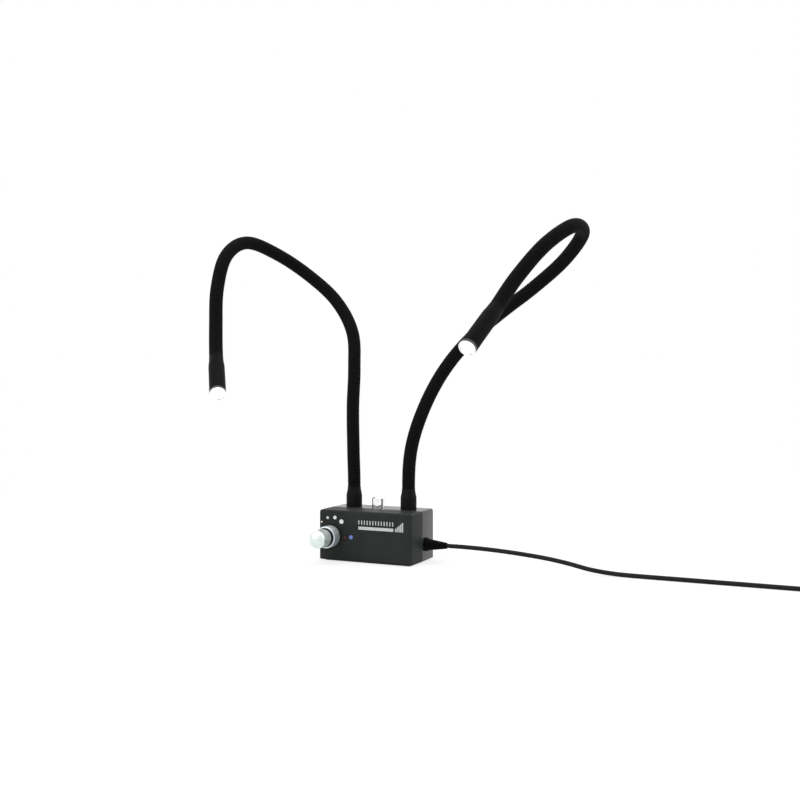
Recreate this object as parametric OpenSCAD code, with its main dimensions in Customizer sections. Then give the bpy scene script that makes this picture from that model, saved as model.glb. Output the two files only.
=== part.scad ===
// Gooseneck LED illuminator for a lab bench: a two-shell control box with a dimmer knob, two ribbed
// goosenecks that each carry a lamp head, a mounting spigot on top and a low-voltage lead with its plug.
// Millimetres. +Z is up, +X runs to the right along the front, and the front faces -Y.
// The origin lies on the floor, under the middle of the parting plane of the case.

/* [Case] */
// Width of the case at its parting plane
case_w = 100; // [96:1:130]
// Depth of the case, front to back
case_d = 54; // [52:1:74]
// How far the parting plane lies in front of the middle of the case
seam_lead = 2; // [0:0.5:4]
// Height of the case above its pad
case_h = 49; // [47:1:70]
// Wall of both shells
wall = 2.5; // [2:0.1:3]
// How far each side draws in between the parting plane and the outer face
draft = 0.5; // [0.2:0.1:1]
// Radius of the long corners at the top
corner_r = 2.5; // [2:0.1:3.5]
// Radius of the long corners at the bottom
foot_r = 1.2; // [0.8:0.1:2.5]
// Rounding of the front and back edges
edge_r = 1.5; // [0.8:0.1:1.9]
// Thickness of the rubber pad under the case
pad_t = 1; // [0.6:0.1:2]
// How far the pad stays inside the edge of the case
pad_inset = 4; // [3:0.5:8]
// Diameter of a case screw
case_screw_d = 3; // [2.5:0.5:3]
// Room around the ballast plate, to the walls and the screw columns
weight_room = 2.5; // [1.5:0.5:8]
// Thickness of the ballast plate
weight_t = 8; // [5:0.5:9]

/* [Necks] */
// Outer diameter of a neck over its ribs
neck_d = 12.6; // [11:0.1:13]
// Bore of a neck, for the lamp wires
neck_bore = 7; // [5:0.5:7.5]
// Length of a neck from its base sleeve to its lamp head
neck_len = 480; // [420:6:540]
// Ribs on each twelfth of a neck
ribs_per_span = 6; // [4:1:6]
// Height of a rib
rib_h = 0.5; // [0.2:0.1:0.8]
// Distance of each neck from the side of the case
neck_inset = 20; // [18:0.5:22]
// Distance of necks and spigot behind the parting plane
neck_y = 12; // [11:0.5:14]
// Diameter of a base sleeve where it meets the case
sleeve_d = 15.6; // [15.4:0.1:17]
// Height of a base sleeve
sleeve_h = 20; // [18:1:30]
// Wall of the shrunk sleeves
sleeve_t = 0.5; // [0.4:0.1:0.7]
// Diameter of the threaded stub under a neck
stub_d = 10; // [9.5:0.5:12]

/* [Lamp heads] */
// Outer diameter of a lamp head
head_d = 14.8; // [14.8:0.1:16]
// Length of a lamp head in front of its neck
head_len = 57; // [48:1:70]
// Diameter of the lens
lens_d = 11.4; // [9:0.1:11.6]

/* [Spigot] */
// Diameter of the mounting spigot
spigot_d = 12.7; // [10:0.1:14]
// Height of the mounting spigot
spigot_h = 10.5; // [9:0.5:20]
// Sideways place of the spigot
spigot_x = -3; // [-6:0.5:6]
// Diameter of the screw that holds the spigot
spigot_screw_d = 5; // [4:0.5:6]

/* [Controls] */
// Distance of the knob's axis from the left edge of the case
knob_inset = 14.4; // [13:0.1:20]
// Height of the knob's axis, which the indicators and the print follow
control_z = 24.8; // [22:0.1:26]
// Diameter of the knob's skirt
skirt_d = 21; // [20:0.5:25]
// Length of the knob's skirt
skirt_len = 11.5; // [9:0.5:13]
// Gap between the panel and the knob
knob_gap = 2.5; // [2.3:0.1:4]
// Width of the groove between skirt and cap
groove = 2.8; // [1.5:0.1:4]
// Diameter of the knob's cap
cap_d = 17; // [16:0.5:19]
// Length of the straight side of the cap
cap_side = 13; // [9:0.5:14]
// Height of the cap's dome
dome_h = 5; // [2:0.5:8]
// Diameter of the dimmer's shaft
shaft_d = 6; // [5:0.5:6]
// Diameter of the blue indicator
power_led_d = 4; // [3:0.5:5]
// Diameter of the red indicator
status_led_d = 2.8; // [2:0.2:3]
// Radius of the arc of scale dots
dot_arc = 15.5; // [15:0.5:18]
// Angle between two scale dots
dot_step = 30; // [26:1:32]

/* [Lead] */
// Diameter of the lead
cord_d = 4.2; // [3.6:0.1:4.6]
// Height at which the lead leaves the case
cord_z = 17; // [16.5:0.5:20]
// Place of the lead behind the parting plane
cord_y = 9; // [8:0.5:12]
// Diameter of the strain relief's flange
boot_d = 13.2; // [11:0.2:14]
// Length of the strain relief outside the case
boot_len = 22; // [18:1:35]
// Outer radius of the put-away coil, to the middle of the lead
coil_r = 30; // [28:1:34]
// Turns in the coil
coil_turns = 6.25; // [4.25:1:6.25]

/* [Hidden] */
$fn = 64;
eps = 0.01;
// How far a cut reaches past the face that it opens
over = 1;
// Radial clearance of shafts and screws in their holes
fit = 0.05;
// Clearance of a sleeve on what it covers
seat = 0.1;
// Room in a blind hole past the tip of its screw
screw_room = 1;
ink_t = 0.15;

// Case planes
top_z = pad_t + case_h;
mid_z = pad_t + case_h / 2;
floor_z = pad_t + wall;
face_y = seam_lead - case_d / 2;
rear_y = seam_lead + case_d / 2;
panel_y = face_y + wall;
inner_w = case_w - 2 * draft - 2 * wall;
inner_h = case_h - 2 * wall;
cavity_r = 1;

// Case screws and the columns that they pass through
column_d = case_screw_d + 4;
column_sink = 0.5;
column_x = inner_w / 2 - column_d / 2 + column_sink;
column_z = inner_h / 2 - column_d / 2 + column_sink;
case_head_d = 2 * case_screw_d;
case_head_t = 2.2;
case_head_recess = 2.5;
case_drive = 1.2;
case_screw_bite = 12;

// Controls
knob_x = -case_w / 2 + knob_inset;
power_led_x = knob_x + 21.1;
power_led_z = control_z - 0.3;
status_led_x = knob_x + 14.6;
status_led_z = control_z - 1.1;
bushing_d = 7;
bushing_len = 4.5;
pot_nut_t = 2;
pot_nut_af = 10;
pot_d = 16;
pot_len = 8.5;
shaft_depth = 5;
skirt_t = 1.25;
skirt_y = face_y - knob_gap;
hub_y = skirt_y - 3.5;
groove_y = skirt_y - skirt_len;
cap_y = groove_y - groove;
cap_t = 2;
shaft_tip_y = cap_y - cap_side / 2;
shaft_room = 0.5;
dome_r = (pow(cap_d / 2, 2) + pow(dome_h, 2)) / (2 * dome_h);
knob_screw_d = 3;
dot_count = 4;
dot_first_d = 1.75;
dot_growth = 0.9;
dot_turn = -3.5;
dot_x = knob_x + 0.3;
dot_z = control_z + 2.7;

// Ballast plate, on the floor of the case between the screw columns
weight_w = 2 * (column_x - column_d / 2 - weight_room);
weight_d = case_d - 2 * wall - 2 * weight_room;

// Circuit board, standing behind the front panel, between the dimmer and the screw columns on the right
pot_room = 4;
board_room = 2.5;
board_head = 3.5;
board_left = knob_x + pot_d / 2 + pot_room;
board_right = column_x - column_d / 2 - board_room;
board_low = floor_z + weight_t + board_room;
board_high = top_z - wall - board_head;
board_w = board_right - board_left;
board_h = board_high - board_low;
board_t = 1.6;
board_x = (board_left + board_right) / 2;
board_z = (board_low + board_high) / 2;
board_y = panel_y + 10;
board_back = board_y + board_t;
standoff_d = 5;
board_inset = 3.5;
board_screw_d = 2.5;
board_screw_bite = 6;
board_screw_x = board_w / 2 - board_inset;
board_screw_z = board_h / 2 - board_inset;
// What the board carries: a row of sockets along its foot, the other parts above them
part_inset = 9;
part_gap = 0.5;
socket_size = [8, 6, 6];
socket_rise = 2;
socket_gap = 4;
chip_size = [6, 1.8, 8];
inductor_d = 11;
can_d = 8;
parts_low = board_low + socket_rise + socket_size[2] + 3 * part_gap;

// Metal left above the screw hole in the spigot
spigot_roof = 2.5;

// Neck fittings
neck_x = case_w / 2 - neck_inset;
neck_r = neck_d / 2;
bore_r = neck_bore / 2;
ferrule_h = 12;
ferrule_floor = 4;
ferrule_r = sleeve_d / 2 - sleeve_t - seat;
neck_tail = sleeve_h - ferrule_floor;
nut_t = 4;
nut_af = stub_d + 4;
stub_past_nut = 2;
stub_len = wall + nut_t + stub_past_nut;
// Length over which a sleeve shrinks from what it covers down to the neck
shrink = 3;

// Neck route: every point is one twelfth of the neck from the next, and every second point is a hinge
spans = 12;
// Drawing units in the length of a neck, for the routes
drawn_count = 480;
span = neck_len / spans;
samples = 2 * ribs_per_span;
ring_sides = 8;
links = 7;
// Ball and cup where two links meet
ball_in = 0.4;
cup_room = 0.6;
rim_in = 0.25;
ball_r = neck_r - ball_in;
cup_r = ball_r + cup_room;
rim_r = neck_r - rim_in;
rim_a = asin(rim_r / cup_r);

// Centre line of the left neck from the top of its sleeve, then the point that its lamp aims through
left_route = [
    [0, 0, 0], [-1, 0, 40], [-3, 3, 80], [-5, 10, 120], [-13, 21, 157], [-35, 27, 190], [-63, 19, 217],
    [-88, -4, 238], [-101, -40, 246], [-102, -75, 229], [-99, -95, 195], [-93, -106, 157], [-80, -124, 125],
    [-53, -160, 113]
];
// The same for the right neck
right_route = [
    [0, 0, 0], [3, 0, 40], [15, 2, 78], [34, 5, 114], [58, 12, 145], [87, 21, 171], [118, 28, 195],
    [149, 24, 219], [173, 0, 239], [175, -39, 241], [159, -69, 222], [140, -89, 193], [129, -114, 164],
    [130, -153, 146]
];

// Lamp head, measured along its axis from the end of the neck
head_start = -4;
housing_start = 6;
housing_r = head_d / 2 - sleeve_t - seat;
neck_plug = 12;
led_seat = head_len - 18;
housing_end = head_len - 2.5;
lens_front = head_len - 0.5;
led_board_t = 1.5;
led_base_t = 1;
led_dome_r = 1.6;
led_board_r = 5;
lens_back = led_seat + led_board_t + led_base_t + led_dome_r + 0.4;
wire_hole_r = 2.5;

// Lead and coil
cord_r = cord_d / 2;
boot_x = case_w / 2;
boot_end = boot_x + boot_len;
boot_seat = draft + wall;
boot_neck_d = 8;
boot_tip_d = cord_d + 1.8;
tie_t = 0.6;
tie_w = 4;
coil_step = cord_d + 0.6;
coil_z = cord_r + tie_t + seat;
// Lead from the strain relief: distance out from its tip, and height of the lead's middle
lead_route = [
    [0, cord_z], [18, cord_z], [38, cord_z - 0.5], [58, cord_z - 1.5], [78, cord_z - 3], [98, cord_z - 5],
    [118, 9], [138, 5], [153, 3.2], [168, cord_r + 0.2], [188, cord_r], [218, cord_r], [248, cord_r],
    [278, cord_r], [308, cord_r], [333, cord_r + 0.2], [353, coil_z], [363, coil_z]
];
lead_steps = 3;
cord_sides = 8;
coil_sides = 6;
coil_loop_rings = 24;
lead_len = lead_route[len(lead_route) - 1][0];
coil_x = boot_end + lead_len + cord_d;
coil_mid = coil_turns / 2;
coil_inner = coil_r - coil_step * coil_mid;
coil_y = cord_y - coil_r;
plug_r = 5.5;
plug_z = plug_r;
plug_y = coil_y - 34;
plug_boot_len = 14;
plug_len = 22;
plug_barrel_d = 5.5;
plug_bore_d = 2.5;
plug_barrel_len = 9.5;

sides = ["left", "right"];

// Curves and rings

function unit(v) = v / norm(v);

function arc(x, y, r, a, n = 6) = [
    for (i = [0 : n])
        let (t = a + 90 * i / n)
        [x + r * cos(t), y + r * sin(t)]
];

function rounded(w, h, r, low) = concat(
    arc(w / 2 - r, h / 2 - r, r, 0),
    arc(-w / 2 + r, h / 2 - r, r, 90),
    arc(-w / 2 + low, -h / 2 + low, low, 180),
    arc(w / 2 - low, -h / 2 + low, low, 270)
);

// Where a shell ends; way is -1 for the front shell and 1 for the rear shell
function shell_end(way) = way < 0 ? face_y : rear_y;

// A smooth curve through the inner points of p; the first and last points only set its end directions
function curve_at(p, u) =
    let (i = min(floor(u), len(p) - 4), t = u - i, a = p[i], b = p[i + 1], c = p[i + 2], d = p[i + 3])
    b + t * (c - a) / 2 + t * t * (2 * a - 5 * b + 4 * c - d) / 2 + t * t * t * (3 * b - a - 3 * c + d) / 2;

function curve_way(p, u) =
    let (i = min(floor(u), len(p) - 4), t = u - i, a = p[i], b = p[i + 1], c = p[i + 2], d = p[i + 3])
    unit((c - a) / 2 + t * (2 * a - 5 * b + 4 * c - d) + 3 * t * t * (3 * b - a - 3 * c + d) / 2);

// Frames [place, way, side, up] along a curve, carried on without twist
function frames(p, count, per_span, side) = [
    for (
        i = 0, w = curve_way(p, 0), n = unit(side - (side * w) * w);
        i <= count;
        i = i + 1, w = curve_way(p, i / per_span), n = unit(n - (n * w) * w)
    ) [curve_at(p, i / per_span), w, n, cross(w, n)]
];

function ring(f, along, r, count) = [
    for (k = [0 : count - 1])
        f[0] + along * f[1] + r * (cos(360 * k / count) * f[2] + sin(360 * k / count) * f[3])
];

function neck_foot(s) = [(s == "left" ? -1 : 1) * neck_x, neck_y, top_z + sleeve_h];

function neck_points(s) =
    let (
        drawn = s == "left" ? left_route : right_route,
        p = [for (q = drawn) neck_foot(s) + q * neck_len / drawn_count]
    )
    concat([p[1] - [0, 0, 2 * span]], p);

function neck_frames(s) = frames(neck_points(s), spans * samples, samples, [1, 0, 0]);

neck_frame = [for (s = sides) neck_frames(s)];

function side_frames(s) = neck_frame[s == "left" ? 0 : 1];

// First and last sample of a link: half a link at each end of the neck, whole links between
function link_start(j) = j == 1 ? 0 : (2 * j - 3) * samples;
function link_end(j) = j == links ? spans * samples : (2 * j - 1) * samples;

// Rings of one link: out along the ribs, over the ball, back through the bore and out of the cup
function link_rings(f, j) =
    let (
        i0 = link_start(j),
        i1 = link_end(j),
        a = f[i0],
        z = f[i1],
        n = ring_sides,
        foot = j == 1
            ? [ring(a, -neck_tail, neck_r, n), ring(a, 0, neck_r, n)]
            : [ring(a, cup_r * cos(rim_a), neck_r, n)],
        ribs = [for (i = [i0 + 1 : i1 - 1]) ring(f[i], 0, i % 2 == 0 ? neck_r - rib_h : neck_r, n)],
        end = j == links
            ? [ring(z, 0, neck_r, n), ring(z, neck_plug, neck_r, n), ring(z, neck_plug, bore_r, n)]
            : [for (c = [90, 62]) ring(z, ball_r * cos(c), ball_r * sin(c), n)],
        ball_mouth = j == links ? [] : [ring(z, sqrt(pow(ball_r, 2) - pow(bore_r, 2)), bore_r, n)],
        bore = [for (i = [i1 - 2 : -4 : i0 + 2]) ring(f[i], 0, bore_r, n)],
        cup = j == 1
            ? [ring(a, -neck_tail, bore_r, n)]
            : concat(
                [ring(a, sqrt(pow(cup_r, 2) - pow(bore_r, 2)), bore_r, n)],
                [for (c = [51, rim_a]) ring(a, cup_r * cos(c), cup_r * sin(c), n)]
            )
    )
    concat(foot, ribs, end, ball_mouth, bore, cup);

// Coil: in along the lower layer, up a layer where the spiral turns back, out along the upper layer
function coil_place(t) =
    let (
        r = coil_inner + coil_step * abs(t - coil_mid),
        c = min(max((t - coil_mid) * 2 + 0.5, 0), 1),
        a = 90 - 360 * t
    )
    [coil_x + r * cos(a), coil_y + r * sin(a), coil_z + coil_step * c * c * (3 - 2 * c)];

coil_out = coil_place(coil_turns);
coil_points = concat(
    [[coil_x - cord_d, cord_y, coil_z]],
    [for (i = [0 : coil_turns * coil_loop_rings]) coil_place(i / coil_loop_rings)],
    [for (q = [[10, 0.25], [18, 0.7], [25, 1]]) [coil_out[0], coil_out[1] - q[0],
        coil_out[2] + (plug_z - coil_out[2]) * q[1]]],
    [[coil_out[0], plug_y, plug_z]]
);
coil_gap = min([
    for (i = [0 : len(coil_points) - 1], j = [i + coil_loop_rings / 2 : len(coil_points) - 1])
        norm(coil_points[i] - coil_points[j])
]) - cord_d;
echo(least_gap_in_coil = coil_gap);

lead_points = [for (q = lead_route) [boot_end + q[0], cord_y, q[1]]];
lead_ends = concat(
    [2 * lead_points[0] - lead_points[1]],
    lead_points,
    [2 * lead_points[len(lead_points) - 1] - lead_points[len(lead_points) - 2]]
);
coil_ends = concat(
    [2 * coil_points[0] - coil_points[1]],
    coil_points,
    [coil_points[len(coil_points) - 1] - [0, cord_d, 0]]
);

// Shared solids

// A closed skin over rings that run out and back again
module ring_loop(rings) {
    n = len(rings[0]);
    m = len(rings);
    polyhedron(
        points = [for (r = rings) each r],
        faces = [
            for (i = [0 : m - 1], k = [0 : n - 1], h = [0, 1])
                let (
                    a = i * n + k,
                    b = i * n + (k + 1) % n,
                    c = (i + 1) % m * n + (k + 1) % n,
                    d = (i + 1) % m * n + k
                )
                h == 0 ? [a, c, b] : [a, d, c]
        ]
    );
}

// A solid rod over rings, with flat ends
module ring_rod(rings) {
    n = len(rings[0]);
    m = len(rings);
    last = (m - 1) * n;
    polyhedron(
        points = [for (r = rings) each r],
        faces = concat(
            [for (k = [1 : n - 2]) [0, k, k + 1]],
            [for (i = [0 : m - 2], k = [0 : n - 1], h = [0, 1])
                let (a = i * n + k, b = i * n + (k + 1) % n, c = b + n, d = a + n)
                h == 0 ? [a, c, b] : [a, d, c]],
            [for (k = [1 : n - 2]) [last, last + k + 1, last + k]]
        )
    );
}

// Turns a solid that stands on the floor so that it points out of the front panel from depth y
module facing_front(x, y, z) {
    translate([x, y, z])
        rotate([90, 0, 0])
            children();
}

module rod_y(x, z, y0, y1, d) {
    facing_front(x, max(y0, y1), z)
        cylinder(h = abs(y1 - y0), d = d);
}

module slab(y, w, h) {
    facing_front(0, y, mid_z)
        linear_extrude(eps)
            polygon(rounded(w, h, corner_r, foot_r));
}

// Outer form of a shell
module shell_form(way) {
    hull() {
        slab(way < 0 ? 0 : eps, case_w, case_h);
        for (a = [0, 45, 90])
            slab(
                shell_end(way) - way * edge_r * (1 - cos(a)) + (way < 0 ? eps : 0),
                case_w - 2 * draft - 2 * edge_r * (1 - sin(a)),
                case_h - 2 * edge_r * (1 - sin(a))
            );
    }
}

module shell_cavity(way) {
    facing_front(0, way < 0 ? eps : rear_y - wall, mid_z)
        linear_extrude(abs(shell_end(way)) - wall + eps)
            polygon(rounded(inner_w, inner_h, cavity_r, cavity_r));
}

module at_columns() {
    for (x = [-column_x, column_x], z = [-column_z, column_z])
        translate([x, 0, mid_z + z])
            children();
}

module at_board_screws() {
    for (x = [-board_screw_x, board_screw_x], z = [-board_screw_z, board_screw_z])
        translate([board_x + x, 0, board_z + z])
            children();
}

module at_necks() {
    for (s = sides)
        translate([neck_foot(s)[0], neck_y, top_z])
            children();
}

// Stands a lamp piece on the end of a neck, with its axis along the neck
module on_head(s) {
    f = side_frames(s)[spans * samples];
    multmatrix([
        [f[2][0], f[3][0], f[1][0], f[0][0]],
        [f[2][1], f[3][1], f[1][1], f[0][1]],
        [f[2][2], f[3][2], f[1][2], f[0][2]]
    ])
        children();
}

// Case

module front_shell() {
    color([0.19, 0.2, 0.19])
        difference() {
            union() {
                difference() {
                    shell_form(-1);
                    shell_cavity(-1);
                }
                at_columns()
                    rod_y(0, 0, face_y + wall / 2, 0, column_d);
                at_board_screws()
                    rod_y(0, 0, face_y + wall / 2, board_y, standoff_d);
            }
            at_columns()
                rod_y(0, 0, -case_screw_bite - screw_room, over, case_screw_d + 2 * fit);
            at_board_screws()
                rod_y(0, 0, board_y - board_screw_bite - screw_room, board_y + over, board_screw_d + 2 * fit);
            rod_y(knob_x, control_z, face_y - over, panel_y + over, bushing_d + 2 * seat);
            rod_y(power_led_x, power_led_z, face_y - over, panel_y + over, power_led_d + 2 * fit);
            rod_y(status_led_x, status_led_z, face_y - over, panel_y + over, status_led_d + 2 * fit);
        }
}

module rear_shell() {
    color([0.21, 0.22, 0.21])
        difference() {
            union() {
                difference() {
                    shell_form(1);
                    shell_cavity(1);
                }
                at_columns()
                    rod_y(0, 0, 0, rear_y - wall / 2, column_d);
            }
            at_columns() {
                rod_y(0, 0, -over, rear_y + over, case_screw_d + 2 * fit);
                rod_y(0, 0, rear_y - case_head_recess, rear_y + over, case_head_d + 2 * seat);
            }
            at_necks()
                translate([0, 0, -wall - over])
                    cylinder(h = wall + 2 * over, d = stub_d + 2 * seat);
            translate([spigot_x, neck_y, top_z - wall - over])
                cylinder(h = wall + 2 * over, d = spigot_screw_d + 2 * seat);
            translate([boot_x - boot_seat - over, cord_y, cord_z])
                rotate([0, 90, 0])
                    cylinder(h = boot_seat + 2 * over, d = boot_neck_d + 2 * seat);
        }
}

module base_pad() {
    color([0.06, 0.06, 0.06])
        translate([0, seam_lead, 0])
            linear_extrude(pad_t)
                polygon(rounded(case_w - 2 * pad_inset, case_d - 2 * pad_inset, corner_r, corner_r));
}

module ballast_plate() {
    color([0.45, 0.46, 0.47])
        translate([-weight_w / 2, seam_lead - weight_d / 2, floor_z])
            cube([weight_w, weight_d, weight_t]);
}

module case_screws() {
    head_y = rear_y - case_head_recess;
    head_end = head_y + case_head_t;
    color([0.6, 0.6, 0.62])
        at_columns() {
            rod_y(0, 0, -case_screw_bite, head_y, case_screw_d);
            difference() {
                rod_y(0, 0, head_y, head_end, case_head_d);
                rod_y(0, 0, head_end - case_drive, head_end + over, case_screw_d);
            }
        }
}

// Mounting spigot

module mounting_spigot() {
    chamfer = 1;
    color([0.88, 0.89, 0.88])
        translate([spigot_x, neck_y, top_z])
            difference() {
                rotate_extrude()
                    polygon([
                        [0, 0], [spigot_d / 2, 0], [spigot_d / 2, spigot_h - chamfer],
                        [spigot_d / 2 - chamfer, spigot_h], [0, spigot_h]
                    ]);
                translate([0, 0, -over])
                    cylinder(h = spigot_h - spigot_roof + over, d = spigot_screw_d + 2 * fit);
            }
}

module spigot_screw() {
    head_t = 3;
    head_d = 1.7 * spigot_screw_d;
    key_d = 0.9 * spigot_screw_d;
    color([0.6, 0.6, 0.62])
        translate([spigot_x, neck_y, top_z - wall]) {
            cylinder(h = wall + spigot_h - spigot_roof - screw_room, d = spigot_screw_d);
            translate([0, 0, -head_t])
                difference() {
                    cylinder(h = head_t, d = head_d);
                    translate([0, 0, -over])
                        cylinder(h = head_t / 2 + over, d = key_d, $fn = 6);
                }
        }
}

// Neck fittings

module neck_ferrules() {
    color([0.55, 0.55, 0.56])
        at_necks()
            difference() {
                union() {
                    cylinder(h = ferrule_h, r = ferrule_r);
                    translate([0, 0, -stub_len])
                        cylinder(h = stub_len + over, d = stub_d);
                }
                translate([0, 0, -stub_len - over])
                    cylinder(h = stub_len + ferrule_h + 2 * over, r = bore_r);
                translate([0, 0, ferrule_floor])
                    cylinder(h = ferrule_h, r = neck_r + seat);
            }
}

module ferrule_nuts() {
    color([0.7, 0.62, 0.4])
        at_necks()
            translate([0, 0, -wall - nut_t])
                difference() {
                    cylinder(h = nut_t, d = nut_af / cos(30), $fn = 6);
                    translate([0, 0, -over])
                        cylinder(h = nut_t + 2 * over, d = stub_d + 2 * fit);
                }
}

module base_sleeve(s) {
    inner = neck_r + seat;
    wide = sleeve_d / 2 - sleeve_t;
    color([0.11, 0.11, 0.11])
        translate([neck_foot(s)[0], neck_y, top_z])
            rotate_extrude()
                polygon([
                    [wide, 0], [sleeve_d / 2, 0], [sleeve_d / 2, ferrule_h - sleeve_t],
                    [inner + sleeve_t, sleeve_h - shrink], [inner + sleeve_t, sleeve_h],
                    [inner, sleeve_h], [inner, ferrule_h + shrink], [wide, ferrule_h]
                ]);
}

module neck_link(s, j) {
    color([0.09, 0.09, 0.09])
        ring_loop(link_rings(side_frames(s), j));
}

// Lamp heads

module head_sleeve(s) {
    inner = neck_r + seat;
    wide = head_d / 2 - sleeve_t;
    color([0.13, 0.13, 0.13])
        on_head(s)
            rotate_extrude()
                polygon([
                    [inner, head_start], [inner + sleeve_t, head_start], [inner + sleeve_t, 0],
                    [head_d / 2, housing_start + shrink], [head_d / 2, head_len], [wide, head_len],
                    [wide, housing_start], [inner, housing_start - shrink]
                ]);
}

module lamp_housing(s) {
    color([0.7, 0.71, 0.72])
        on_head(s)
            difference() {
                translate([0, 0, housing_start])
                    cylinder(h = housing_end - housing_start, r = housing_r);
                translate([0, 0, housing_start - over])
                    cylinder(h = neck_plug - housing_start + over, r = neck_r + seat);
                cylinder(h = head_len, r = wire_hole_r);
                translate([0, 0, led_seat])
                    cylinder(h = head_len, d = lens_d + 2 * fit);
            }
}

module led_board(s) {
    color([0.9, 0.9, 0.88])
        on_head(s)
            translate([0, 0, led_seat])
                cylinder(h = led_board_t, r = led_board_r);
}

module led_emitter(s) {
    base = 2 * led_dome_r + 0.4;
    color([1, 0.97, 0.8])
        on_head(s)
            translate([0, 0, led_seat + led_board_t]) {
                translate([-base / 2, -base / 2, 0])
                    cube([base, base, led_base_t]);
                translate([0, 0, led_base_t])
                    rotate_extrude()
                        intersection() {
                            circle(r = led_dome_r);
                            square(led_dome_r);
                        }
            }
}

module lens(s) {
    rim = 2;
    step = 0.6;
    back_r = led_dome_r + 1.4;
    color([0.95, 0.97, 1])
        on_head(s)
            rotate_extrude()
                polygon([
                    [0, lens_back], [back_r, lens_back], [lens_d / 2 - step, housing_end - rim],
                    [lens_d / 2, housing_end - rim], [lens_d / 2, housing_end], [housing_r, housing_end],
                    [housing_r, lens_front], [0, lens_front]
                ]);
}

// Driver electronics

module circuit_board() {
    color([0.1, 0.35, 0.2])
        difference() {
            translate([board_x - board_w / 2, board_y, board_z - board_h / 2])
                cube([board_w, board_t, board_h]);
            at_board_screws()
                rod_y(0, 0, board_y - over, board_back + over, board_screw_d + 2 * fit);
        }
}

module board_screws() {
    head_t = 1.6;
    head_d = 1.9 * board_screw_d;
    color([0.6, 0.6, 0.62])
        at_board_screws() {
            rod_y(0, 0, board_y - board_screw_bite, board_back, board_screw_d);
            rod_y(0, 0, board_back, board_back + head_t, head_d);
        }
}

module power_inductor() {
    x = board_left + part_inset + chip_size[0] + part_gap + inductor_d / 2;
    z = parts_low + inductor_d / 2;
    tall = 5;
    dimple = 1.5;
    dimple_d = 4;
    color([0.2, 0.2, 0.22])
        difference() {
            rod_y(x, z, board_back, board_back + tall, inductor_d);
            rod_y(x, z, board_back + tall - dimple, board_back + tall + over, dimple_d);
        }
}

module smoothing_capacitors() {
    tall = 9;
    right = board_right - part_inset - can_d / 2;
    color([0.15, 0.17, 0.25])
        for (x = [right, right - can_d - part_gap])
            rod_y(x, parts_low + can_d / 2, board_back, board_back + tall, can_d);
}

module driver_chip() {
    color([0.08, 0.08, 0.08])
        translate([board_left + part_inset, board_back, parts_low])
            cube(chip_size);
}

module board_sockets() {
    w = socket_size[0];
    right = board_right - part_inset - w;
    lip = 1;
    color([0.9, 0.9, 0.86])
        for (x = [board_left + part_inset, right - w - socket_gap, right])
            translate([x, board_back, board_low + socket_rise])
                difference() {
                    cube(socket_size);
                    translate([lip, lip, lip])
                        cube([w - 2 * lip, socket_size[1], socket_size[2] - 2 * lip]);
                }
}

// Dimmer and knob

module dimmer_pot() {
    terminal = [1.2, 0.5, 5];
    terminal_out = 3;
    color([0.5, 0.5, 0.5]) {
        difference() {
            union() {
                rod_y(knob_x, control_z, panel_y, panel_y + pot_len, pot_d);
                rod_y(knob_x, control_z, face_y - bushing_len, panel_y + over, bushing_d);
            }
            rod_y(knob_x, control_z, face_y - bushing_len - over, panel_y + shaft_depth, shaft_d + 2 * fit);
        }
        for (i = [-1 : 1])
            translate([knob_x + 5 * i - terminal[0] / 2, panel_y + 2, control_z - pot_d / 2 - terminal_out])
                cube(terminal);
    }
}

module pot_nut() {
    color([0.75, 0.75, 0.76])
        difference() {
            facing_front(knob_x, face_y, control_z)
                cylinder(h = pot_nut_t, d = pot_nut_af / cos(30), $fn = 6);
            rod_y(knob_x, control_z, face_y - pot_nut_t - over, face_y + over, bushing_d + 2 * fit);
        }
}

module pot_shaft() {
    color([0.8, 0.8, 0.8])
        rod_y(knob_x, control_z, shaft_tip_y, panel_y + shaft_depth - shaft_room, shaft_d);
}

module knob_hub() {
    waist_d = cap_d - cap_t;
    color([0.05, 0.05, 0.05])
        difference() {
            union() {
                rod_y(knob_x, control_z, groove_y, hub_y, skirt_d - 2 * skirt_t - 2 * fit);
                rod_y(knob_x, control_z, cap_y, groove_y + over, waist_d);
                rod_y(knob_x, control_z, cap_y - cap_side + over, cap_y + over, cap_d - 2 * cap_t - 2 * fit);
            }
            rod_y(knob_x, control_z, shaft_tip_y - shaft_room, hub_y + over, shaft_d + 2 * fit);
            translate([knob_x, (hub_y + groove_y) / 2, control_z - skirt_d])
                cylinder(h = skirt_d, d = knob_screw_d + 2 * fit);
        }
}

module knob_skirt() {
    edge = 0.6;
    r = skirt_d / 2;
    color([0.8, 0.82, 0.81])
        difference() {
            facing_front(knob_x, skirt_y, control_z)
                rotate_extrude()
                    polygon([
                        [r - skirt_t, 0], [r - edge, 0], [r, edge], [r, skirt_len - edge],
                        [r - edge, skirt_len], [r - skirt_t, skirt_len]
                    ]);
            translate([knob_x, (hub_y + groove_y) / 2, control_z - skirt_d])
                cylinder(h = skirt_d, d = knob_screw_d + 4 * fit);
        }
}

module knob_cap() {
    r = cap_d / 2;
    color([0.9, 0.92, 0.91])
        facing_front(knob_x, cap_y, control_z)
            rotate_extrude()
                difference() {
                    union() {
                        square([r, cap_side]);
                        intersection() {
                            translate([0, cap_side + dome_h - dome_r])
                                circle(r = dome_r);
                            translate([0, cap_side - eps])
                                square([r, dome_h + 1]);
                        }
                    }
                    translate([-over, -over])
                        square([r - cap_t + over, cap_side]);
                }
}

module knob_screw() {
    long = 5;
    color([0.3, 0.3, 0.3])
        translate([knob_x, (hub_y + groove_y) / 2, control_z - shaft_d / 2 - fit - long])
            cylinder(h = long, d = knob_screw_d);
}

// Indicators and print

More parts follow.
